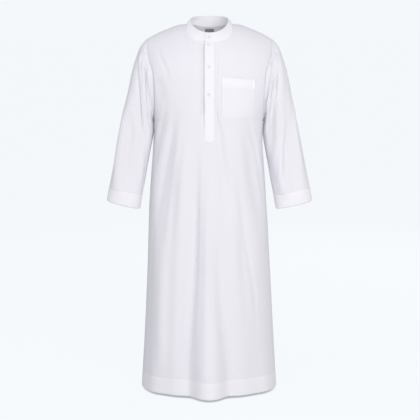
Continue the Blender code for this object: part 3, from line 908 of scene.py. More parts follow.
@dataclass(frozen=True)
class Stitch:
    """One lockstitch as it shows: length, gap and thread."""

    length: float = 2.5 * MM
    gap: float = 0.6 * MM
    radius: float = 0.24 * MM
    sunk: float = 0.45
    shortest_run: float = 0.01 * MM

    def frames(self, points: Array, normals: Array) -> Array:
        """Where the stitches of a row go.

        Args:
            points: The line's points on the cloth.
            normals: The cloth's outward normals there.

        Returns:
            For each stitch a 3 by 4 matrix: its scaled length, width and height, and its place.
        """
        keep = np.r_[True, np.diff(run_of(points)) > self.shortest_run]
        points, normals = points[keep], normals[keep]
        run = run_of(points)
        count = max(int(run[-1] / (self.length + self.gap)), 1)
        middles = (np.arange(count) + 0.5) * run[-1] / count
        reach = self.length / 2
        along = unit(read_line(points, run, middles + reach) - read_line(points, run, middles - reach))
        side = unit(np.cross(read_line(normals, run, middles), along))
        up = np.cross(along, side)
        place = read_line(points, run, middles) + up * self.radius * self.sunk
        return np.stack([along * reach, side * self.radius, up * self.radius, place], axis=2)


@dataclass
class Stitching:
    """Rows of sewing thread gathered into one piece."""

    stitch: Stitch = Stitch()
    frames: list[Array] = field(default_factory=list)

    def sew(self, points: Array, normals: Array, join: Join = Join.OPEN, stitch: Stitch | None = None) -> None:
        """Add one row of stitches along a line on cloth.

        Args:
            points: The line's points on the cloth.
            normals: The cloth's outward normals there.
            join: Whether the line closes on itself.
            stitch: Another stitch than the usual one.
        """
        if join is Join.RING:
            points, normals = np.vstack([points, points[:1]]), np.vstack([normals, normals[:1]])
        self.frames.append((stitch or self.stitch).frames(points, normals))

    def build(self, name: str, thread: Material, slot: str = "shirting") -> Object:
        """Make the piece of every row sewn so far, one bead of thread for each stitch.

        Args:
            name: The piece's name.
            thread: Its finish.
            slot: Not used.

        Returns:
            The piece.
        """
        bead = bmesh.new()
        bmesh.ops.create_uvsphere(bead, u_segments=6, v_segments=4, radius=1.0)
        shape = mesh_of("bead", bead)
        corners = np.array([vertex.co[:] for vertex in shape.vertices])
        frames = np.concatenate(self.frames)
        sewn = bmesh.new()
        for sized in frames:
            shape.vertices.foreach_set("co", (corners @ sized[:, :3].T + sized[:, 3]).ravel())
            sewn.from_mesh(shape)
        bpy.data.meshes.remove(shape)
        log.info("%s: %d stitches", name, len(frames))
        return add_piece(name, sewn, thread, slot)


# ---- cloth laid on a panel
@dataclass
class OnPanel:
    """Places on the outer surface of a panel, read at any (x, z)."""

    form: BodyForm
    creasing: Creasing
    behind: bool = False
    step: float = 0.5 * MM

    def at(self, x: Array, z: Array, lift: Array = 0.0) -> tuple[Array, Array]:
        """Points at a height above the cloth.

        Args:
            x: Distances from the middle.
            z: Heights.
            lift: How far out from the cloth.

        Returns:
            The points and the cloth's outward unit normals there.
        """
        x, z = np.broadcast_arrays(np.asarray(x, float), np.asarray(z, float))
        depth, step = self.form.depth_at, self.step
        y = depth(x, z, self.behind)
        slope_x = (depth(x + step, z, self.behind) - depth(x - step, z, self.behind)) / (2 * step)
        slope_z = (depth(x, z + step, self.behind) - depth(x, z - step, self.behind)) / (2 * step)
        out = unit(stacked(slope_x, -1.0, slope_z)) * (-1 if self.behind else 1)
        away = self.creasing.lift(x, z) + lift
        return stacked(x, y, z) + out * away[..., None], out

    def patch(self, name: str, x: Array, z: Array, lift: Array, wall: Wall, looks: tuple[Material, str, str]) -> Object:
        """Make a doubled piece of cloth that lies on the panel.

        Args:
            name: The piece's name.
            x: A grid of distances from the middle.
            z: The heights of the same places.
            lift: How far out from the panel.
            wall: Its thickness.
            looks: Its finish, a slot that is not used, and the solid that it stands for.

        Returns:
            The piece.
        """
        flat = stacked(-x if self.behind else x, z)
        piece = add_piece(name, grid_mesh(self.at(x, z, lift)[0], flat, np.ones(x.shape)), *looks)
        wall.apply(piece)
        return piece


@dataclass
class Laid:
    """A piece of cloth that lies on the front panel and is sewn down."""

    cloth: OnPanel
    seam: float = 0.4 * MM
    wall: float = 1.0 * MM
    sewing_step: float = 3.0 * MM

    def lift(self, x: Array, z: Array) -> Array:
        """How far the piece stands off the panel."""
        return np.full(np.shape(x), self.seam)

    def sew(self, lines: Stitching, corners: Sequence[Pair], more: int = 0) -> None:
        """Sew along straight lines on the piece.

        Args:
            lines: The stitching that takes them.
            corners: The lines' ends as (x, z).
            more: Points to read on each line beyond the usual number.
        """
        for start, finish in zip(corners, corners[1:]):
            count = max(int(math.dist(start, finish) / self.sewing_step), 2) + more
            x, z = np.linspace(start, finish, count).T
            lines.sew(*self.cloth.at(x, z, self.lift(x, z) + self.wall))


# ---- panels
NECK_COLUMN = 7.0
SIDE_COLUMN = 15.0


@dataclass
class Panel:
    """The front or the back panel, from hem to neck and shoulder seam."""

    form: BodyForm
    creasing: Creasing
    behind: bool
    # Stretches of columns up to the neck's end, close at the placket: their ends and counts.
    neck_columns: tuple[tuple, ...] = ((0.0, 0.9, 4), (0.9, 2.6, 15), (2.6, NECK_COLUMN, 17))
    shoulder_columns: int = 36
    side_columns: Sizes = (14.75, 14.87, 14.95)
    body_step: float = 6.4 * MM
    arch_rows: int = 43
    top_parts: Sizes = (0.988, 0.995, 1.0)
    # Rows above the hem's edge and about its stitching, in mm.
    edge_rows: Sizes = (0.0, 0.4, 1.0, 1.9, 3.0, 4.2)
    furrow_rows: Sizes = (-2.5, -1.25, 0.0, 1.25, 2.5, 4.5)
    hem_rows: int = 9
    seam_gap: float = 0.1 * MM
    seam_dip: float = 0.5 * MM
    seam_width: float = 2.6 * MM
    neck_share: float = 0.3
    side_dip: Curve = Curve(
        (-0.390, -0.368, -0.340, -0.290, -0.215, -0.150, -0.080),
        (0.0005, 0.0020, 0.0075, 0.0075, 0.0060, 0.0030, 0.0007),
    )
    side_width: float = 3.6 * MM
    hem_roll: float = 4.0 * MM
    hem_layers: float = 0.65
    next_layers: float = 0.3
    column_pull: float = 0.60
    pull_z: float = -0.800

    def columns(self) -> Array:
        """Columns of a half panel.

        Returns:
            The columns, from 0 at the middle by the neck's to the side's.
        """
        neck = np.concatenate([np.linspace(*stretch)[1:] for stretch in self.neck_columns])
        shoulder = np.linspace(NECK_COLUMN, self.side_columns[0], self.shoulder_columns)[1:]
        return np.r_[0.0, neck, shoulder, self.side_columns[1:], SIDE_COLUMN]

    def heights(self) -> Array:
        """Heights of the rows below the chest, closer together at the hem and its stitching.

        Returns:
            The heights, rising.
        """
        edge, furrow = HEM_Z + np.array(self.edge_rows) * MM, STITCH_Z + np.array(self.furrow_rows) * MM
        hem = np.linspace(HEM_Z + 8 * MM, STITCH_Z - 4 * MM, self.hem_rows)
        body = np.linspace(STITCH_Z + 10 * MM, CHEST_Z, int((CHEST_Z - STITCH_Z) / self.body_step))
        return np.r_[edge, hem, furrow, body]

    def stitch_row(self) -> int:
        """Row of the hem's stitching."""
        return int(np.searchsorted(self.heights(), STITCH_Z))

    def top_end(self, column: Array) -> tuple[Array, Array]:
        """Where columns end in plan.

        Args:
            column: The columns.

        Returns:
            Their x and y on the neck edge or the shoulder seam.
        """
        first = 0.0 if self.behind else math.asin(SLIT / 2 / NECK_HALF)
        swing = mix(first, np.pi / 2, np.clip(column / NECK_COLUMN, 0.0, 1.0))
        neck_x, neck_y = self.form.neck_plan(np.pi - swing if self.behind else swing)
        seam_x = mix(NECK_HALF, TIP_X, (column - NECK_COLUMN) / (SIDE_COLUMN - NECK_COLUMN))
        seam_y = SEAM_Y + self.seam_gap / 2 * (1 if self.behind else -1)
        on_seam = column >= NECK_COLUMN
        return np.where(on_seam, seam_x, neck_x), np.where(on_seam, seam_y, neck_y)

    def column_turn(self, z: Array, column: Array) -> Array:
        """Turn of columns from the middle of their own panel, below the chest.

        Args:
            z: Heights.
            column: The columns.

        Returns:
            The turns, with the slit's half left free on the front.
        """
        form = self.form
        edge = np.pi / 2 - self.seam_gap / 2 / form.half.at(z)
        armhole = form.armhole_back if self.behind else form.armhole_front
        seam = armhole.at(np.maximum(z, UNDERARM_Z)) + form.shift.at(z)
        seam_turn = np.abs(form.turn_at(z, seam, self.behind))
        seam_turn = np.pi - seam_turn if self.behind else seam_turn
        edge = np.where(z > UNDERARM_Z, np.minimum(edge, seam_turn), edge)
        pull = self.column_pull * smooth((z - self.pull_z) / (CHEST_Z - self.pull_z))
        part = mix(column / SIDE_COLUMN, self.top_end(column)[0] / TIP_X, pull)
        if self.behind:
            return edge * part
        slit = np.arcsin(SLIT / 2 / form.plain_radius(z, 0.0))
        neck = mix(NECK_COLUMN / SIDE_COLUMN, NECK_HALF / TIP_X, pull)
        first = mix(0.0, self.top_end(np.zeros(1))[0] / TIP_X, pull)
        spread = part - first * (1.0 - np.minimum(part / neck, 1.0))
        return np.where(column < NECK_COLUMN, slit + (edge - slit / neck) * spread, edge * part)

    def half_points(self, side: int) -> Array:
        """Rows of points of one half.

        Args:
            side: The half, -1 or 1.

        Returns:
            The rows, each from the middle to the side.
        """
        column, z = self.columns()[None, :], self.heights()[:, None]
        turn = self.column_turn(z, column)
        body = self.form.body_point(z, side * (np.pi - turn if self.behind else turn))
        end_x, end_y = self.top_end(column)
        rise = self.form.arch_turn(end_x, end_y)
        if self.behind:
            rise = np.where(end_y < 0, np.pi - rise, rise)
        part = np.linspace(0.0, 1.0, self.arch_rows + 2)[1:-1]
        part = np.r_[part, self.top_parts][:, None]
        arch = self.form.arch_point(mix(np.abs(body[-1:, :, 0]), end_x, smooth(part)), rise * part, self.behind)
        arch[..., 0] *= side
        return np.concatenate((body, arch))

    def surface(self) -> Array:
        """Rows of points of the whole panel, with its creases and its seams' dips.

        Returns:
            The rows, from the hem up.
        """
        side = 1 if self.behind else -1
        halves = self.half_points(side)[:, ::-1], self.half_points(-side)[:, int(self.behind) :]
        points = np.concatenate(halves, axis=1)
        run, rise = run_of(points, 1), run_of(points)
        to_side, to_top = np.minimum(run, run[:, -1:] - run), rise[-1:] - rise
        held = smooth(to_side / SEAM_HOLD) * smooth(to_top / SEAM_HOLD)
        at_neck = np.abs(points[-1:, :, 0]) < NECK_HALF - MM
        top_dip = self.seam_dip * trough(to_top, self.seam_width) * np.where(at_neck, self.neck_share, 1.0)
        side_dip = self.side_dip.at(points[..., 2]) * trough(to_side, self.side_width)
        lift = self.creasing.lift(points[..., 0], points[..., 2]) * held - np.maximum(top_dip, side_dip)
        furrow = FURROW * trough(rise - rise[self.stitch_row()], FURROW_WIDTH)
        return points + normals_of(points) * (lift - furrow - rolled(rise, self.hem_roll))[..., None]

    def build(self, finishes: Finishes) -> tuple[Object, Array]:
        """Make the panel.

        Args:
            finishes: The robe's finishes.

        Returns:
            Its object and its grid of outer points.
        """
        name, solid = ("back_panel", "back") if self.behind else ("front_panel", "front")
        points, stitch = self.surface(), self.stitch_row()
        across = run_of(points, 1)
        layers = np.zeros(points.shape[:2])
        layers[: stitch + 1], layers[stitch + 1] = self.hem_layers, self.next_layers
        sheet = grid_mesh(points, stacked(across - across[:, -1:] / 2, run_of(points)), layers)
        columns = points.shape[1]
        if not self.behind:
            middle = len(self.columns()) - 1
            slit = {v for v in sheet.verts if v.index % columns in (middle, middle + 1) and v.co.z > SLIT_END_Z}
            gone = [face for face in sheet.faces if slit.issuperset(face.verts)]
            bmesh.ops.delete(sheet, geom=gone, context="FACES")
        piece = add_piece(name, sheet, finishes.shirting, "shirting", solid)
        Wall(HEM_WALL, thin=WALL).apply(piece, range((stitch + 1) * columns))
        return piece, points


# ---- sleeves
# Inner x and z, outer x and z, front y and back y of each ring, in mm.
SLEEVE_ROWS = (
    (211.2, -366.5, 244.5, -64.0, -75.5, 70.0),
    (211.2, -370.0, 263.0, -87.0, -77.0, 71.5),
    (210.8, -379.0, 278.0, -124.0, -76.5, 71.0),
    (210.2, -392.0, 292.0, -174.0, -74.5, 69.0),
    (209.2, -412.0, 304.0, -228.0, -72.0, 65.5),
    (213.4, -440.0, 315.0, -285.0, -70.0, 61.0),
    (219.4, -474.0, 327.0, -340.0, -69.0, 56.0),
    (225.8, -508.0, 338.5, -395.0, -68.5, 50.0),
    (232.5, -542.0, 350.0, -450.0, -69.0, 43.0),
    (238.0, -577.0, 361.5, -508.0, -70.0, 35.0),
    (245.0, -613.0, 373.0, -566.0, -71.5, 27.0),
    (252.5, -648.0, 384.0, -619.0, -73.0, 20.0),
    (253.2, -651.5, 384.7, -622.5, -73.0, 19.5),
    (258.0, -677.0, 388.5, -646.0, -73.8, 16.5),
    (262.0, -701.0, 392.5, -670.0, -74.5, 14.0),
)


@dataclass(frozen=True)
class SleeveFold:
    """A fold of a sleeve between turns from its outer line and rows of its table."""

    turn_start: float
    row_start: float
    turn_end: float
    row_end: float
    width: float
    depth: float


@dataclass
class Sleeve:
    """A set-in sleeve, from the armhole seam to its turned-up hem."""

    form: BodyForm
    side: int
    folds: tuple[SleeveFold, ...]
    creases: tuple[Crease, ...]
    around: int = 120
    flat_around: float = 0.40
    step: float = 4.8 * MM
    # Rows above the hem's edge and about its stitching, in mm.
    edge_rows: Sizes = (3.0, 2.2, 1.4, 0.7, 0.25, 0.0)
    furrow_rows: Sizes = (-2.0, -1.0, 0.0, 1.0, 2.0, 4.0)
    hem_rows: int = 8
    gap: float = 0.25 * MM
    hem_row: float = 11.6
    hem_roll: float = 3.0 * MM
    hem_layers: float = 0.75
    square: float = 3.3
    square_at: Curve = Curve((-1.0, 0.2, 1.6, 7.0, 10.5), (0.0, 0.25, 1.0, 1.0, 0.0))
    blends: Sizes = (0.20, 0.50, 0.80)
    per_degree: float = 1.1 * MM

    def armhole(self, front: Array, back: Array, underarm: int) -> Array:
        """Armhole edge from the underarm up the front, over the shoulder and down the back.

        Args:
            front: The front panel's points.
            back: The back panel's points.
            underarm: The panels' row at the underarm.

        Returns:
            Evenly spaced points, the last on the first.
        """
        rise_at, fall_at = (0, -1) if self.side < 0 else (-1, 0)
        rise, fall = front[underarm:, rise_at], back[underarm:, fall_at]
        loop = np.concatenate((rise, fall[-2:0:-1], rise[:1]))
        run = run_of(loop)
        return read_line(loop, run, np.linspace(0.0, run[-1], self.around + 1))

    def rings(self, loop: Array) -> tuple[Array, Array, Array]:
        """Rings of the sleeve before it folds.

        Args:
            loop: The armhole's points.

        Returns:
            The rings from the armhole down, the way out at each point, and each column's turn.
        """
        side, form = self.side, self.form
        tip = np.array([side * TIP_X, 0.0, float(form.shoulder.at(TIP_X))])
        centre, reach = ((loop[0] + tip) / 2)[[0, 2]], ((tip - loop[0]) / 2)[[0, 2]]
        front_y, back_y = loop[:, 1].min(), loop[:, 1].max()
        up = (loop[:, [0, 2]] - centre) @ reach / (reach @ reach)
        out = -(loop[:, 1] - (front_y + back_y) / 2) / ((back_y - front_y) / 2)
        turn = np.arctan2(out, up)
        cos, sin = np.cos(turn), np.sin(turn)
        corner = (np.abs(cos) ** self.square + np.abs(sin) ** self.square) ** (-1 / self.square)
        corner = np.where((cos > 0) & (sin > 0), corner, 1.0)
        rings, pushes = [loop + np.array([side * self.gap, 0.0, 0.0])], [np.zeros_like(loop)]
        for index, sizes in enumerate(np.array(SLEEVE_ROWS) * MM):
            x_in, z_in, x_out, z_out, y_front, y_back = sizes
            x_in, x_out = side * x_in + float(form.shift.at(z_in)), side * x_out
            blend = self.blends[index] if index < len(self.blends) else 1.0
            along, across, deep = mix(up, cos, blend), mix(out, sin, blend), (y_back - y_front) / 2
            push = stacked((x_out - x_in) / 2 * along, -deep * across, (z_out - z_in) / 2 * along)
            push *= (1.0 + (corner - 1.0) * self.square_at.at(float(index)))[:, None]
            rings.append(np.array([x_in + x_out, y_front + y_back, z_in + z_out]) / 2 + push)
            pushes.append(push / deep)
        return np.array(rings), np.array(pushes), turn

    def places(self, length: float, stitch: float) -> Array:
        """Distances of the rows down the sleeve, closer together at its ends and its stitching.

        Args:
            length: The sleeve's length.
            stitch: Distance of its stitching from the armhole.

        Returns:
            The distances.
        """
        upper = np.r_[0.0, 0.8 * MM, 2 * MM, np.linspace(4 * MM, stitch - 4 * MM, int(stitch / self.step))]
        furrow, edge = stitch + np.array(self.furrow_rows) * MM, length - np.array(self.edge_rows) * MM
        return np.r_[upper, furrow, np.linspace(stitch + 8 * MM, length - 6 * MM, self.hem_rows), edge]

    def surface(self, loop: Array) -> tuple[Array, Array, Array]:
        """Rows of points from the armhole to the hem, folded and creased.

        Args:
            loop: The armhole's points.

        Returns:
            The points, and each row's place in the table and distance down the sleeve.
        """
        rings, pushes, turn = self.rings(loop)
        run, table = run_of(rings).mean(axis=1), np.arange(-1, len(rings) - 1)
        stitch = float(np.interp(self.hem_row, table, run))
        places = self.places(run[-1], stitch)
        rows = np.interp(places, run, table)
        points, directions = through(run, rings, places), through(run, pushes, places)
        degrees = np.degrees(turn) % 360.0
        lift = np.zeros(points.shape[:2])
        for fold in self.folds:
            along = (rows[:, None] - fold.row_start) / (fold.row_end - fold.row_start)
            away = nearest(degrees - mix(fold.turn_start, fold.turn_end, along), 360.0)
            lift += fold.depth * np.sin(np.pi * np.clip(along, 0.0, 1.0)) * bump(away, fold.width)
        points = points + directions * lift[..., None]
        lift = np.zeros(points.shape[:2])
        for crease in self.creases:
            turns, at_rows = np.array(crease.path).T
            near = (turns.mean() + nearest(degrees - turns.mean(), 360.0)) * self.per_degree
            path = tuple(zip(turns * self.per_degree, np.interp(at_rows, table, run)))
            lift += replace(crease, path=path).lift(*grid(near, places))
        lift *= smooth(places / SEAM_HOLD)[:, None]
        wrapped = np.concatenate((points[:, -2:-1], points, points[:, 1:2]), axis=1)
        points = points + normals_of(wrapped)[:, 1:-1] * self.side * lift[..., None]
        furrow = rolled(run[-1] - places, self.hem_roll) + FURROW * trough(places - stitch, FURROW_WIDTH)
        return points - directions * furrow[:, None, None], rows, places

    def build(self, finishes: Finishes, loop: Array) -> tuple[Object, Array, int]:
        """Make the sleeve.

        Args:
            finishes: The robe's finishes.
            loop: The armhole's points.

        Returns:
            Its object, its points and the row of its hem stitching.
        """
        hand = "left" if self.side > 0 else "right"
        points, rows, places = self.surface(loop)
        stitch = int(np.searchsorted(rows, self.hem_row - SLACK))
        layers = np.zeros(points.shape[:2])
        layers[stitch:] = self.hem_layers
        flat = stacked(np.linspace(0.0, self.flat_around, points.shape[1])[None, :], -places[:, None])
        sheet = grid_mesh(points, flat, layers, closed=True, flip=self.side < 0)
        doubled = sheet.verts.layers.float["layers"]
        sheet.verts.index_update()
        thick = [vertex.index for vertex in sheet.verts if vertex[doubled]]
        piece = add_piece(f"sleeve_cloth_{hand}", sheet, finishes.shirting, "shirting", f"sleeve_{hand}")
        Wall(HEM_WALL, thin=WALL).apply(piece, thick)
        return piece, points, stitch


# ---- collar
@dataclass
class Collar:
    """Interlined stand collar: one strip round the neck, its left end over its right."""

    form: BodyForm
    half: float = 0.0705
    front: float = -0.0720
    back: float = 0.0660
    top: Curve = Curve(
        (-0.072, -0.048, -0.024, 0.000, 0.035, 0.066), (-0.0310, -0.0150, 0.0030, 0.0190, 0.0280, 0.0310)
    )
    lift: float = -0.4 * MM
    inset: float = 0.5 * MM
    lap_start: float = -11.8
    lap_end: float = 371.0
    shown_end: float = 345.2
    tuck: float = 3.1 * MM
    tuck_start: float = 290.0
    tuck_span: float = 50.0
    pinch: float = 1.5 * MM
    pinch_at: float = 347.0
    pinch_width: float = 6.0
    bow: float = 2.0 * MM
    around: int = 250
    # Rows below the top edge and above the seam, in mm, and those between, as parts.
    top_rows: Sizes = (9.0, 7.5, 6.5, 5.5, 4.5, 3.0, 1.2, 0.0)
    seam_rows: Sizes = (0.0, 1.2, 2.2, 3.2)
    middle_rows: tuple[float, float, int] = (0.16, 0.68, 7)
    top_stitch: float = 5.5 * MM
    top_width: float = 2.0 * MM
    edge_stitch: float = 2.2 * MM
    edge_width: float = 1.6 * MM
    edge_share: float = 0.7
    furrow: float = 0.35 * MM
    roll: float = 0.3 * MM
    roll_width: float = 2.4 * MM
    rounding: float = 0.6 * MM
    flat_size: Pair = (0.46, 0.034)

    def surface(self) -> tuple[Array, Array]:
        """Rows of points from the neck seam to the top edge.

        Returns:
            The points, and each one's height up the band.
        """
        degrees = np.linspace(self.lap_start, self.lap_end, self.around + 1)
        turn = np.radians(degrees)
        outward = stacked(np.sin(turn), -np.cos(turn), 0.0)
        low = self.form.neck_point(nearest(turn)) + np.array([0.0, 0.0, self.lift]) - outward * self.inset
        y = (self.front + self.back) / 2 + (self.back - self.front) / 2 * outward[:, 1]
        high = stacked(self.half * outward[:, 0], y, self.top.at(y))
        tall = np.linalg.norm(high - low, axis=1)
        above, below = (np.array(rows) * MM / tall.mean() for rows in (self.seam_rows, self.top_rows))
        part = np.sort(np.r_[above, np.linspace(*self.middle_rows), 1.0 - below])[:, None, None]
        tucked = self.tuck * smooth((degrees - self.tuck_start) / self.tuck_span)
        tucked = tucked + self.pinch * bump(degrees - self.pinch_at, self.pinch_width)
        points = mix(low, high, part) + outward * (self.bow * np.sin(np.pi * part) - tucked[:, None])
        height = part[..., 0] * tall
        furrow = self.edge_share * bump(height - self.edge_stitch, self.edge_width)
        furrow = furrow + bump(tall - height - self.top_stitch, self.top_width)
        dip = self.furrow * furrow + self.roll * bump(tall - height, self.roll_width)
        return points - normals_of(points) * dip[..., None], height

    def build(self, finishes: Finishes, lines: Stitching) -> tuple[Object, Array]:
        """Make the collar and its rows of stitches.

        Args:
            finishes: The robe's finishes.
            lines: The stitching that takes its rows.

        Returns:
            Its object and its outer points.
        """
        points, height = self.surface()
        along, up = (np.linspace(0.0, size, count) for size, count in zip(self.flat_size, height.shape[::-1]))
        sheet = grid_mesh(points, stacked(*grid(along, up)), np.ones(height.shape))
        piece = add_piece("collar_band", sheet, finishes.shirting, "shirting", "collar_stand")
        Wall(STAND_WALL, self.rounding).apply(piece)
        out = normals_of(points)
        shown = int(self.around * (self.shown_end - self.lap_start) / (self.lap_end - self.lap_start))
        top_row = int(np.argmin(np.abs((height[-1] - height).mean(axis=1) - self.top_stitch)))
        low_row = int(np.argmin(np.abs(height.mean(axis=1) - self.edge_stitch)))
        for row in (top_row, low_row):
            lines.sew(points[row, 2:shown], out[row, 2:shown])
        lines.sew(points[low_row : top_row + 1, 2], out[low_row : top_row + 1, 2])
        return piece, points


# ---- what lies on the front
@dataclass
class Placket(Laid):
    """The buttoned strip down the front: the upper strip laps over the under one."""

    wall: float = 1.4 * MM
    half: float = 18.2 * MM
    end_z: float = -0.432
    point: float = 11.0 * MM
    edge_stitch: float = 2.0 * MM
    bar_z: float = -0.378
    bar_gap: float = 4.0 * MM
    end_inset: float = 1.0 * MM
    rounding: float = 0.45 * MM
    # The free edge gapes from near the middle line, between the bar and the collar.
    free_lift: float = 3.4 * MM
    free_from: float = 3.0 * MM
    least_gape: float = 0.45
    button_hold: float = 34.0 * MM
    bar_hold: Pair = (6.0 * MM, 30.0 * MM)
    collar_hold: Pair = (-0.060, 25.0 * MM)
    furrow: float = 0.25 * MM
    edge_width: float = 1.4 * MM
    bar_share: float = 1.6
    # Columns in from the edges, in mm.
    rim_columns: Sizes = (0.0, 1.0, 2.0, 3.0, 4.6)
    buttons_z: Sizes = (-0.0765, -0.158, -0.2615, -0.350)
    under_left: float = -30.0 * MM
    under_right: float = 13.0 * MM
    under_wall: Wall = field(default_factory=lambda: Wall(1.0 * MM, 0.3 * MM))
    under_gap: float = 0.5 * MM
    hole_stitch: Stitch = Stitch(1.7 * MM, 0.0, 0.27 * MM)
    hole_sides: Pair = (0.35 * MM, 1.75 * MM)
    hole_step: float = 0.55 * MM

    def lift(self, x: Array, z: Array) -> Array:
        """How far the upper strip stands off: its free edge gapes between buttons.

        Args:
            x: Distances from the middle.
            z: Heights.

        Returns:
            The lift.
        """
        free = smooth((-x - self.free_from) / (self.half - self.free_from))
        closest = np.min([np.abs(z - button) for button in self.buttons_z], axis=0)
        gape = mix(self.least_gape, 1.0, smooth(closest / self.button_hold))
        (bar_from, bar_over), (collar_from, collar_over) = self.bar_hold, self.collar_hold
        held = smooth((z - self.bar_z - bar_from) / bar_over) * smooth((collar_from - z) / collar_over)
        furrow = bump(np.abs(x) - self.half + self.edge_stitch, self.edge_width)
        furrow = furrow + self.bar_share * bump(z - self.bar_z + self.bar_gap / 2, self.bar_gap)
        return self.seam + self.free_lift * free * gape * held - self.furrow * furrow

    def build(self, finishes: Finishes, lines: Stitching) -> list[Object]:
        """Make both strips and the upper one's stitches.

        Args:
            finishes: The robe's finishes.
            lines: The stitching that takes its rows.

        Returns:
            The upper and the under strip.
        """
        half, neck = self.half, self.cloth.form.neck_height
        rim, inner = np.array(self.rim_columns) * MM, half - 7 * MM
        x = np.r_[-half + rim, np.linspace(-inner, inner, 10), half - rim[::-1]]
        x, rise = grid(x, np.linspace(0.0, 1.0, 131))
        z = mix(self.end_z - self.point * (1.0 - np.abs(x) / half), neck(x), rise)
        wall, looks = Wall(self.wall, self.rounding, outwards=True), (finishes.shirting, "shirting")
        upper = self.cloth.patch("placket_strip", x, z, self.lift(x, z), wall, (*looks, "placket_upper"))
        x, rise = grid(np.linspace(self.under_left, self.under_right, 15), np.linspace(0.0, 1.0, 81))
        z, down = mix(self.end_z, neck(x), rise), -WALL - self.under_gap
        below = replace(self.cloth, creasing=PANEL_CREASES)
        under = below.patch("placket_facing", x, z, down, self.under_wall, (*looks, "placket_under"))
        inner, corner = half - self.edge_stitch, self.end_z + self.end_inset
        top = float(neck(np.array(inner))) - self.end_inset
        tip = (0.0, corner - self.point * 0.92)
        self.sew(lines, [(-inner, top), (-inner, corner), tip, (inner, corner), (inner, top)], more=1)
        for z in (self.bar_z, self.bar_z - self.bar_gap):
            self.sew(lines, [(-inner, z), (inner, z)], more=1)
        return [upper, under]

    def buttonhole(self, lines: Stitching, x: float, z: float, long: float = 14.5 * MM) -> None:
        """Sew the two close rows of a buttonhole that runs up and down.

        Args:
            lines: The stitching that takes them.
            x: Distance of its middle from the robe's.
            z: Height of its middle.
            long: Its length.
        """
        for side in (-1, 1):
            across = x + side * np.array(self.hole_sides)
            across, heights = grid(across, np.arange(z - long / 2, z + long / 2, self.hole_step))
            points, out = self.cloth.at(across, heights, self.lift(across, heights) + self.wall)
            for ends, facing in zip(points, out):
                lines.sew(ends, facing, stitch=self.hole_stitch)


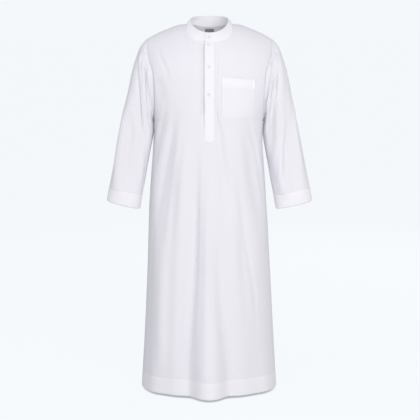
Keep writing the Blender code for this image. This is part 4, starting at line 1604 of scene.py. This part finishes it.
@dataclass
class Pocket(Laid):
    """Patch pocket on the wearer's left breast, hemmed along its mouth."""

    left: float = 0.045
    right: float = 0.168
    top_left: float = -0.196
    top_right: float = -0.206
    bottom: float = -0.349
    cut: float = 17.0 * MM
    hem: float = 36.0 * MM
    hem_lift: float = 0.6 * MM
    hem_soft: float = 1.6 * MM
    edge_stitch: float = 1.8 * MM
    edge_width: float = 1.5 * MM
    hem_inset: float = 2.0 * MM
    mouth_inset: float = 1.0 * MM
    furrow: float = 0.25 * MM
    rounding: float = 0.3 * MM
    gape: float = 2.6 * MM
    gape_reach: float = 60.0 * MM
    single_layers: float = 0.50
    tab_size: Pair = (6.0 * MM, 28.0 * MM)
    tab_corner: Pair = (0.8 * MM, 4.0 * MM)
    tab_wall: Wall = field(default_factory=lambda: Wall(0.8 * MM, 0.25 * MM, outwards=True))
    tab_gap: float = 0.3 * MM
    tab_puff: float = 0.5 * MM

    def mouth(self, x: Array) -> Array:
        """Height of the mouth's edge at a distance from the middle."""
        return mix(self.top_left, self.top_right, (x - self.left) / (self.right - self.left))

    def in_hem(self, x: Array, z: Array) -> Array:
        """1 in the hem along the mouth and 0 below it."""
        return smooth((self.hem - self.mouth(x) + z) / self.hem_soft + 0.5)

    def lift(self, x: Array, z: Array) -> Array:
        """How far the pocket stands off: its hem is doubled and its mouth gapes.

        Args:
            x: Distances from the middle.
            z: Heights.

        Returns:
            The lift.
        """
        below, wide = self.mouth(x) - z, self.right - self.left
        middle = 1.0 - np.clip(np.abs(2 * x - self.left - self.right) / wide, 0.0, 1.0) ** 2
        edge = np.minimum(np.minimum(x - self.left, self.right - x), z - self.bottom)
        furrow = bump(edge - self.edge_stitch, self.edge_width) + bump(below - self.hem + self.hem_inset, self.hem_soft)
        stand = self.hem_lift * self.in_hem(x, z) + self.gape * middle * smooth(1.0 - below / self.gape_reach)
        return self.seam + stand - self.furrow * np.minimum(furrow, 1.0)

    def outline(self, inset: float) -> list[Pair]:
        """Corners of the sewn edge from the mouth down, along the bottom and up again.

        Args:
            inset: Distance from the pocket's own edge.

        Returns:
            The corners as (x, z).
        """
        left, right, bottom = self.left + inset, self.right - inset, self.bottom + inset
        cut = self.cut - inset * (2 - math.sqrt(2))
        down, up = ((x, float(self.mouth(x)) - self.mouth_inset) for x in (left, right))
        low = [(left, bottom + cut), (left + cut, bottom), (right - cut, bottom), (right, bottom + cut)]
        return [down, *low, up]

    def build(self, finishes: Finishes, lines: Stitching) -> list[Object]:
        """Make the pocket, its tab and its stitches.

        Args:
            finishes: The robe's finishes.
            lines: The stitching that takes its rows.

        Returns:
            The pocket and the tab.
        """
        x, z = grid(np.linspace(self.left, self.right, 50), np.linspace(self.bottom, self.top_left, 66))
        layers = mix(self.single_layers, 1.0, self.in_hem(x, z))
        sheet = grid_mesh(stacked(x, 0.0, z), stacked(x, z), layers)
        cuts = (
            ((self.left, 0.0, self.top_left), (self.top_left - self.top_right, 0.0, self.right - self.left)),
            ((self.right - self.cut, 0.0, self.bottom), (1.0, 0.0, -1.0)),
            ((self.left + self.cut, 0.0, self.bottom), (-1.0, 0.0, -1.0)),
        )
        for place, facing in cuts:
            whole = sheet.verts[:] + sheet.edges[:] + sheet.faces[:]
            facing = Vector(facing).normalized()
            bmesh.ops.bisect_plane(sheet, geom=whole, plane_co=place, plane_no=facing, clear_outer=True, dist=SLACK)
        x, _, z = np.array([vertex.co[:] for vertex in sheet.verts]).T
        for vertex, point in zip(sheet.verts, self.cloth.at(x, z, self.lift(x, z))[0].tolist()):
            vertex.co = point
        pocket = add_piece("pocket_patch", sheet, finishes.shirting, "shirting", "chest_pocket")
        Wall(self.wall, self.rounding, outwards=True).apply(pocket)
        self.sew(lines, self.outline(self.edge_stitch))
        ends = (self.left + self.hem_inset, self.right - self.hem_inset)
        self.sew(lines, [(x, float(self.mouth(x)) - self.hem + self.hem_inset) for x in ends])
        return [pocket, self.build_tab(finishes)]

    def build_tab(self, finishes: Finishes) -> Object:
        """Make the plain tape tab by the mouth's outer corner.

        Args:
            finishes: The robe's finishes.

        Returns:
            The tab.
        """
        right, top = self.right - self.tab_corner[0], self.top_right - self.tab_corner[1]
        width, height = self.tab_size
        x, z = grid(np.linspace(right - width, right, 7), np.linspace(top - height, top, 29))
        lift = self.lift(x, z) + self.wall + self.tab_gap + self.tab_puff * bump(x - right + width / 2, width)
        return self.cloth.patch("tape_tab", x, z, lift, self.tab_wall, (finishes.tape, "tape", "pocket_tab"))


@dataclass
class NeckLabel:
    """Plain woven label sewn inside the back of the neck."""

    cloth: OnPanel
    half: float = 17.0 * MM
    top: float = -0.018
    bottom: float = -0.042
    hang: float = 1.2 * MM
    gap: float = 0.3 * MM
    wall: Wall = field(default_factory=lambda: Wall(0.5 * MM, 0.12 * MM))
    stitch: Stitch = Stitch(2.0 * MM, 0.5 * MM, 0.2 * MM)
    stitch_inset: Pair = (1.6 * MM, 2.0 * MM)
    stitch_depth: float = 0.95 * MM

    def build(self, finishes: Finishes) -> list[Object]:
        """Make the label and the stitches that hold its ends.

        Args:
            finishes: The robe's finishes.

        Returns:
            The label and its stitches.
        """
        x, z = grid(np.linspace(self.half, -self.half, 23), np.linspace(self.bottom, self.top, 17))
        hang = self.hang * smooth((self.top - z) / (self.top - self.bottom)) * (1 - (x / self.half) ** 2)
        looks = (finishes.label, "label", "neck_label")
        label = self.cloth.patch("woven_label", x, z, -WALL - self.gap - hang, self.wall, looks)
        lines, (side_inset, end_inset) = Stitching(self.stitch), self.stitch_inset
        z = np.linspace(self.bottom + end_inset, self.top - end_inset, 8)
        for side in (-1, 1):
            points, out = self.cloth.at(side * (self.half - side_inset), z, -WALL - self.stitch_depth)
            lines.sew(points, -out)
        return [label, lines.build("label_stitches", finishes.dark_thread, "label")]


@dataclass
class Button:
    """A turned four-hole button with its thread, standing on cloth."""

    name: str
    solid: str
    radius: float = 5.7 * MM
    height: float = 2.6 * MM
    rim: float = 1.1 * MM
    hole: float = 0.62 * MM
    spread: float = 1.15 * MM
    segments: int = 40
    thread: Stitch = Stitch(2.9 * MM, 0.0, 0.26 * MM)
    strands: Sizes = (-0.32 * MM, 0.0, 0.32 * MM)
    strand_reach: float = 1.15
    strand_height: float = 0.66

    def turned(self) -> BMesh:
        """The button turned on its axis, its back at the origin.

        Returns:
            The shape, without its holes.
        """
        radius, height, rim = self.radius, self.height, self.rim
        profile = (
            (0.0, 0.0), (0.70 * radius, 0.0), (0.90 * radius, 0.12 * height), (radius, 0.42 * height),
            (radius, 0.62 * height), (radius - 0.22 * rim, 0.90 * height), (radius - 0.6 * rim, height),
            (radius - 1.1 * rim, 0.90 * height), (radius - 1.6 * rim, 0.70 * height),
            (0.40 * radius, 0.64 * height), (0.0, 0.64 * height),
        )
        shape = bmesh.new()
        line = [shape.verts.new((x, 0.0, z)) for x, z in profile]
        line += [shape.edges.new(pair) for pair in zip(line, line[1:])]
        spin = {"axis": (0, 0, 1), "cent": (0, 0, 0), "steps": self.segments, "angle": math.tau}
        bmesh.ops.spin(shape, geom=line, use_merge=True, **spin)
        bmesh.ops.remove_doubles(shape, verts=shape.verts[:], dist=SLACK)
        bmesh.ops.recalc_face_normals(shape, faces=shape.faces[:])
        return shape

    def drill(self) -> BMesh:
        """The four pins that the holes are cut with.

        Returns:
            The shape of all four.
        """
        shape = bmesh.new()
        cone = {"cap_ends": True, "segments": 12, "radius1": self.hole, "radius2": self.hole, "depth": 2 * self.height}
        for across, up in ((-1, -1), (-1, 1), (1, -1), (1, 1)):
            shift = Matrix.Translation((across * self.spread, up * self.spread, self.height / 2))
            bmesh.ops.create_cone(shape, matrix=shift, **cone)
        return shape

    def build(self, finishes: Finishes, place: Array, out: Array, lines: Stitching) -> Object:
        """Make the button at a place on cloth.

        Args:
            finishes: The robe's finishes.
            place: The middle of its back.
            out: The way it faces.
            lines: The stitching that takes its thread.

        Returns:
            The button's object.
        """
        turned, drill = self.turned(), self.drill()
        stand = Matrix.Translation(Vector(place)) @ Vector(out).to_track_quat("Z", "Y").to_matrix().to_4x4()
        for shape in (turned, drill):
            bmesh.ops.transform(shape, matrix=stand, verts=shape.verts[:])
        cutter = link("drill", mesh_of("drill", drill))
        piece = add_piece(self.name, turned, finishes.resin, "button", self.solid)
        holes = piece.modifiers.new("holes", "BOOLEAN")
        holes.operation, holes.object = "DIFFERENCE", cutter
        bake_modifiers(piece)
        bpy.data.objects.remove(cutter, do_unlink=True)
        for across in (-1, 1):
            for strand in self.strands:
                x, z = across * self.spread + strand, self.strand_height * self.height
                up = self.strand_reach * self.spread
                ends = np.array([(stand @ Vector((x, y, z)))[:] for y in (-up, up)])
                lines.sew(ends, np.tile(np.asarray(out, float), (2, 1)), stitch=self.thread)
        return piece


# ---- studio
@dataclass(frozen=True)
class StudioVinyl:
    """Matt studio vinyl, rolled out and evenly lit.

    It glows as bright as the air behind it, with a painted shadow close under the robe where the robe hides the floor
    from the open air.
    """

    name: str = "matt_studio_vinyl"
    tone: str = "#F4F8FB"
    bounce: float = 0.5

    def build(self) -> Material:
        """Make the material.

        Returns:
            The material.
        """
        material, tree = blank(self.name)
        seen = node(tree, "LightPath", out="Is Camera Ray")
        # Painted shadow: the glow that the camera sees is dimmed where the robe hides the floor from the open air.
        painted_shadow_ao = node(tree, "AmbientOcclusion", {"Distance": 1.2}, "AO", samples=16)
        shades = {"Value": painted_shadow_ao, "From Min": 0.05, "From Max": 0.40, "To Min": 0.42, "To Max": 0.97}
        shown = node(tree, "MapRange", shades)
        strength = node(tree, "MapRange", {"Value": seen, "To Min": self.bounce, "To Max": shown})
        glow = node(tree, "Emission", {"Color": linear(self.tone), "Strength": strength})
        matt = node(tree, "BsdfDiffuse", {"Color": (0.045, 0.046, 0.048, 1.0)})
        node(tree, "OutputMaterial", {"Surface": node(tree, "AddShader", {0: glow, 1: matt})})
        return material


@dataclass(frozen=True)
class SoftBox:
    """A soft lamp that points at the robe."""

    name: str
    place: Place
    size: float
    watts: float
    colour: str = "#FFFFFF"
    target: Place = (0.0, 0.0, -0.65)

    def build(self) -> None:
        """Make the lamp, which the camera doesn't see."""
        lamp = bpy.data.lights.new(self.name, "AREA")
        lamp.shape = "SQUARE"
        lamp.size, lamp.energy = self.size, self.watts
        lamp.color = linear(self.colour)[:3]
        holder = link(self.name, lamp)
        holder.location = self.place
        aim = Vector(self.target) - Vector(self.place)
        holder.rotation_euler = aim.to_track_quat("-Z", "Y").to_euler()
        holder.visible_camera = False


@dataclass(frozen=True)
class Studio:
    """Pale floor and air, soft lamps and the camera."""

    vinyl: StudioVinyl = StudioVinyl()
    air: str = "#F2F1F6"
    air_strength: float = 0.60
    floor_z: float = -1.411
    floor_half: float = 200.0
    camera_place: Place = (0.0019, -5.2, 0.0)
    tilt: float = 7.8
    lens: float = 116.4
    sensor: float = 36.0
    sight: float = 500.0
    lamps: tuple[SoftBox, ...] = (
        SoftBox("key_lamp", (1.15, -3.5, 0.0), 2.1, 83.0, "#FFFDFA"),
        SoftBox("top_lamp", (-0.3, -2.2, 3.0), 1.6, 10.0),
        SoftBox("neck_lamp", (0.0, -0.045, -0.20), 0.10, 0.10, target=(0.0, 0.060, 0.0)),
        SoftBox("fill_lamp", (-3.2, -2.6, 0.9), 2.6, 30.0),
        SoftBox("rim_lamp_right", (2.6, 1.8, 0.4), 1.8, 8.0),
        SoftBox("back_lamp", (1.4, 3.6, 0.7), 2.0, 38.0),
        SoftBox("rim_lamp_left", (-3.4, 0.2, 0.3), 1.8, 9.0),
    )

    def build_camera(self) -> None:
        """Put the camera where the robe fills the frame from the front."""
        lens = bpy.data.cameras.new("camera")
        lens.lens, lens.sensor_width, lens.clip_end = self.lens, self.sensor, self.sight
        camera = link("camera", lens)
        camera.location = self.camera_place
        camera.rotation_euler = (math.radians(90.0 - self.tilt), 0.0, 0.0)
        bpy.context.scene.camera = camera

    def build_air(self) -> None:
        """Light the air evenly, and show it in the floor's own tone."""
        world = bpy.data.worlds.new("air")
        world.use_nodes = True
        tree = world.node_tree
        tree.nodes.clear()
        seen = node(tree, "LightPath", out="Is Camera Ray")
        lit = node(tree, "Background", {"Color": linear(self.air), "Strength": self.air_strength})
        shown = node(tree, "Background", {"Color": linear(self.vinyl.tone), "Strength": 1.0})
        node(tree, "OutputWorld", {"Surface": node(tree, "MixShader", {0: seen, 1: lit, 2: shown})})
        bpy.context.scene.world = world

    def build_floor(self) -> None:
        """Lay a wide pale floor that runs into the backdrop."""
        shape = bmesh.new()
        bmesh.ops.create_grid(shape, x_segments=1, y_segments=1, size=self.floor_half)
        bmesh.ops.translate(shape, verts=shape.verts[:], vec=(0.0, 0.0, self.floor_z))
        floor = link("floor", mesh_of("floor", shape))
        floor.data.materials.append(self.vinyl.build())

    def build(self) -> None:
        """Make the whole studio."""
        bpy.context.scene.view_settings.view_transform = "Standard"
        bpy.context.scene.view_settings.look = "None"
        self.build_camera()
        self.build_air()
        self.build_floor()
        for lamp in self.lamps:
            lamp.build()


# ---- the robe
RIGHT_FOLDS = (
    SleeveFold(74, 1.0, 128, 8.0, 34, -0.009),
    SleeveFold(114, 1.0, 152, 7.0, 34, 0.006),
    SleeveFold(34, 4.0, 62, 13.0, 36, 0.007),
    SleeveFold(96, 6.0, 112, 13.0, 34, -0.006),
    SleeveFold(232, 1.0, 206, 7.0, 36, -0.007),
    SleeveFold(300, 3.0, 286, 13.0, 38, 0.007),
)
LEFT_FOLDS = (
    SleeveFold(58, 1.0, 100, 7.0, 32, 0.008),
    SleeveFold(98, 1.0, 136, 7.5, 32, -0.008),
    SleeveFold(122, 6.0, 108, 13.0, 34, 0.007),
    SleeveFold(78, 5.0, 84, 13.0, 34, -0.007),
    SleeveFold(228, 1.0, 204, 7.0, 36, -0.007),
    SleeveFold(296, 4.0, 282, 13.0, 38, 0.006),
)
RIGHT_CREASES = creases((
    (13, -11.0, 1.2, (14, 0.3), (34, 0.8), (54, 1.5), (74, 2.3), (92, 3.3), (106, 4.4), (114, 5.6)),
    (20, 9.0, 1.0, (36, 0.3), (68, 0.9), (92, 1.4), (110, 2.1), (128, 3.1), (138, 4.4)),
    (10, -8.0, 1.1, (66, -0.4), (82, 0.0), (95, 0.0), (112, 0.0), (128, 0.3), (140, 1.3)),
    (14, 2.0, 1.2, (64, 5.6), (76, 6.6), (82, 8.3), (88, 9.6), (92, 11.0)),
    (34, 4.5, 1.0, (64, 5.0), (66, 6.4), (69, 7.9), (72, 9.3), (75, 11.0)),
    (16, -2.6, 1.2, (16, 4.6), (34, 6.5), (34, 8.4), (36, 10.8)),
    (13, -2.6, 1.3, (120, 5.4), (132, 7.0), (138, 9.0), (140, 10.8)),
    (8, -2.6, 1.4, (300, 0.7), (268, 1.0), (242, 2.0)),
    (13, 3.0, 1.2, (244, 1.4), (256, 3.6), (250, 6.8)),
    (12, -3.6, 1.4, (222, 4.6), (234, 6.4), (238, 9.8)),
    (14, -2.6, 1.2, (296, 3.8), (276, 8.2)),
    (14, 2.4, 1.0, (262, 6.0), (256, 10.4)),
), scale=1.0, fades=(0.2, 0.3))
LEFT_CREASES = creases((
    (12, 8.0, 1.0, (4, 0.1), (18, 0.4), (40, 0.7), (64, 1.3), (80, 2.0), (92, 3.0)),
    (13, -5.0, 1.1, (30, 0.5), (74, 1.2), (96, 1.7), (114, 2.6), (124, 3.8)),
    (9, -8.0, 1.1, (46, 0.2), (68, 0.3), (88, 0.4), (106, 0.5), (124, 0.7), (146, 1.0)),
    (8, 3.0, 1.5, (60, 0.8), (89, 0.9), (107, 1.5), (121, 2.3), (132, 3.8), (138, 5.4)),
    (11, -3.8, 1.5, (68, 4.8), (86, 6.4), (102, 7.5), (112, 9.0), (124, 10.6)),
    (12, 2.6, 1.2, (74, 6.6), (93, 8.1), (105, 10.0)),
    (30, 4.0, 1.0, (49, 5.0), (53, 6.7), (60, 8.7), (66, 11.0)),
    (14, -3.0, 1.2, (24, 4.6), (34, 6.1), (42, 7.6), (42, 9.3), (46, 10.8)),
    (8, -2.4, 1.5, (296, 0.8), (266, 1.2), (240, 2.4)),
    (14, 3.0, 1.3, (246, 1.8), (254, 4.2), (246, 7.2)),
    (13, -3.4, 1.3, (222, 4.6), (236, 6.8), (234, 10.2)),
    (14, -2.8, 1.2, (300, 3.2), (282, 7.4)),
), scale=1.0, fades=(0.2, 0.3))
COLLAR_BUTTON = (-0.0015, -0.0470)
PLACKET_BUTTONS = ((-0.0030, -0.0765), (-0.0018, -0.1580), (-0.0032, -0.2615))
BUTTON_GAP = 0.3 * MM


@dataclass
class Robe:
    """The whole robe, piece by piece."""

    form: BodyForm = BodyForm()
    finishes: Finishes = field(default_factory=Finishes.make)

    def build(self) -> None:
        """Make every piece in the order in which it is sewn."""
        form, finishes = self.form, self.finishes
        front, back = Panel(form, PANEL_CREASES, behind=False), Panel(form, BACK_CREASES, behind=True)
        front_piece, front_points = front.build(finishes)
        back_piece, back_points = back.build(finishes)
        lines, hem_lines = Stitching(), Stitching()
        for points in (front_points, back_points):
            hem_lines.sew(points[front.stitch_row()], normals_of(points)[front.stitch_row()])
        underarm = int(np.argmin(np.abs(front.heights() - UNDERARM_Z)))
        sleeves = []
        for side, folds, rows in ((-1, RIGHT_FOLDS, RIGHT_CREASES), (1, LEFT_FOLDS, LEFT_CREASES)):
            sleeve = Sleeve(form, side, folds, rows)
            piece, points, row = sleeve.build(finishes, sleeve.armhole(front_points, back_points, underarm))
            hem_lines.sew(points[row, :-1], normals_of(points)[row, :-1] * side, Join.RING)
            sleeves.append(piece)
        collar, collar_points = Collar(form).build(finishes, lines)
        cloth = OnPanel(form, FRONT_CREASES)
        placket = Placket(cloth)
        strips = placket.build(finishes, lines)
        pocket = Pocket(cloth).build(finishes, lines)
        label = NeckLabel(OnPanel(form, BACK_CREASES, behind=True)).build(finishes)
        buttons = self.build_buttons(placket, collar_points, lines)
        stitches = lines.build("front_stitches", finishes.thread)
        hem_stitches = hem_lines.build("hem_stitches", finishes.thread)
        on_chest = [*strips, *pocket, *buttons, stitches]
        for piece in (front_piece, back_piece, *sleeves, collar, *on_chest, *label, hem_stitches):
            log.info("%s: %d faces", piece.name, len(piece.data.polygons))

    def build_buttons(self, placket: Placket, collar_points: Array, lines: Stitching) -> list[Object]:
        """Make the collar's button and the placket's three.

        Args:
            placket: The placket that they stand on.
            collar_points: The collar's outer points.
            lines: The stitching that takes their thread and the buttonholes.

        Returns:
            The buttons, from the top down.
        """
        out = normals_of(collar_points)
        x, z = COLLAR_BUTTON
        away = np.hypot(collar_points[..., 0] - x, collar_points[..., 2] - z) + (collar_points[..., 1] >= 0)
        away[:, collar_points.shape[1] // 2 :] += 1.0
        spot = np.unravel_index(np.argmin(away), away.shape)
        place = collar_points[spot] + out[spot] * BUTTON_GAP
        made = [Button("button_at_collar", "button_collar").build(self.finishes, place, out[spot], lines)]
        for index, (x, z) in enumerate(PLACKET_BUTTONS, start=1):
            at, up = np.array([x]), np.array([z])
            points, out = placket.cloth.at(at, up, placket.lift(at, up) + placket.wall + BUTTON_GAP)
            button = Button(f"placket_button_{index}", f"button_{index}")
            made.append(button.build(self.finishes, points[0], out[0], lines))
            placket.buttonhole(lines, x, z)
        return made


def main() -> None:
    """Build the studio and the robe."""
    logging.basicConfig(level=logging.INFO, format="%(name)s: %(message)s")
    Studio().build()
    Robe().build()


if __name__ == "__main__":
    main()
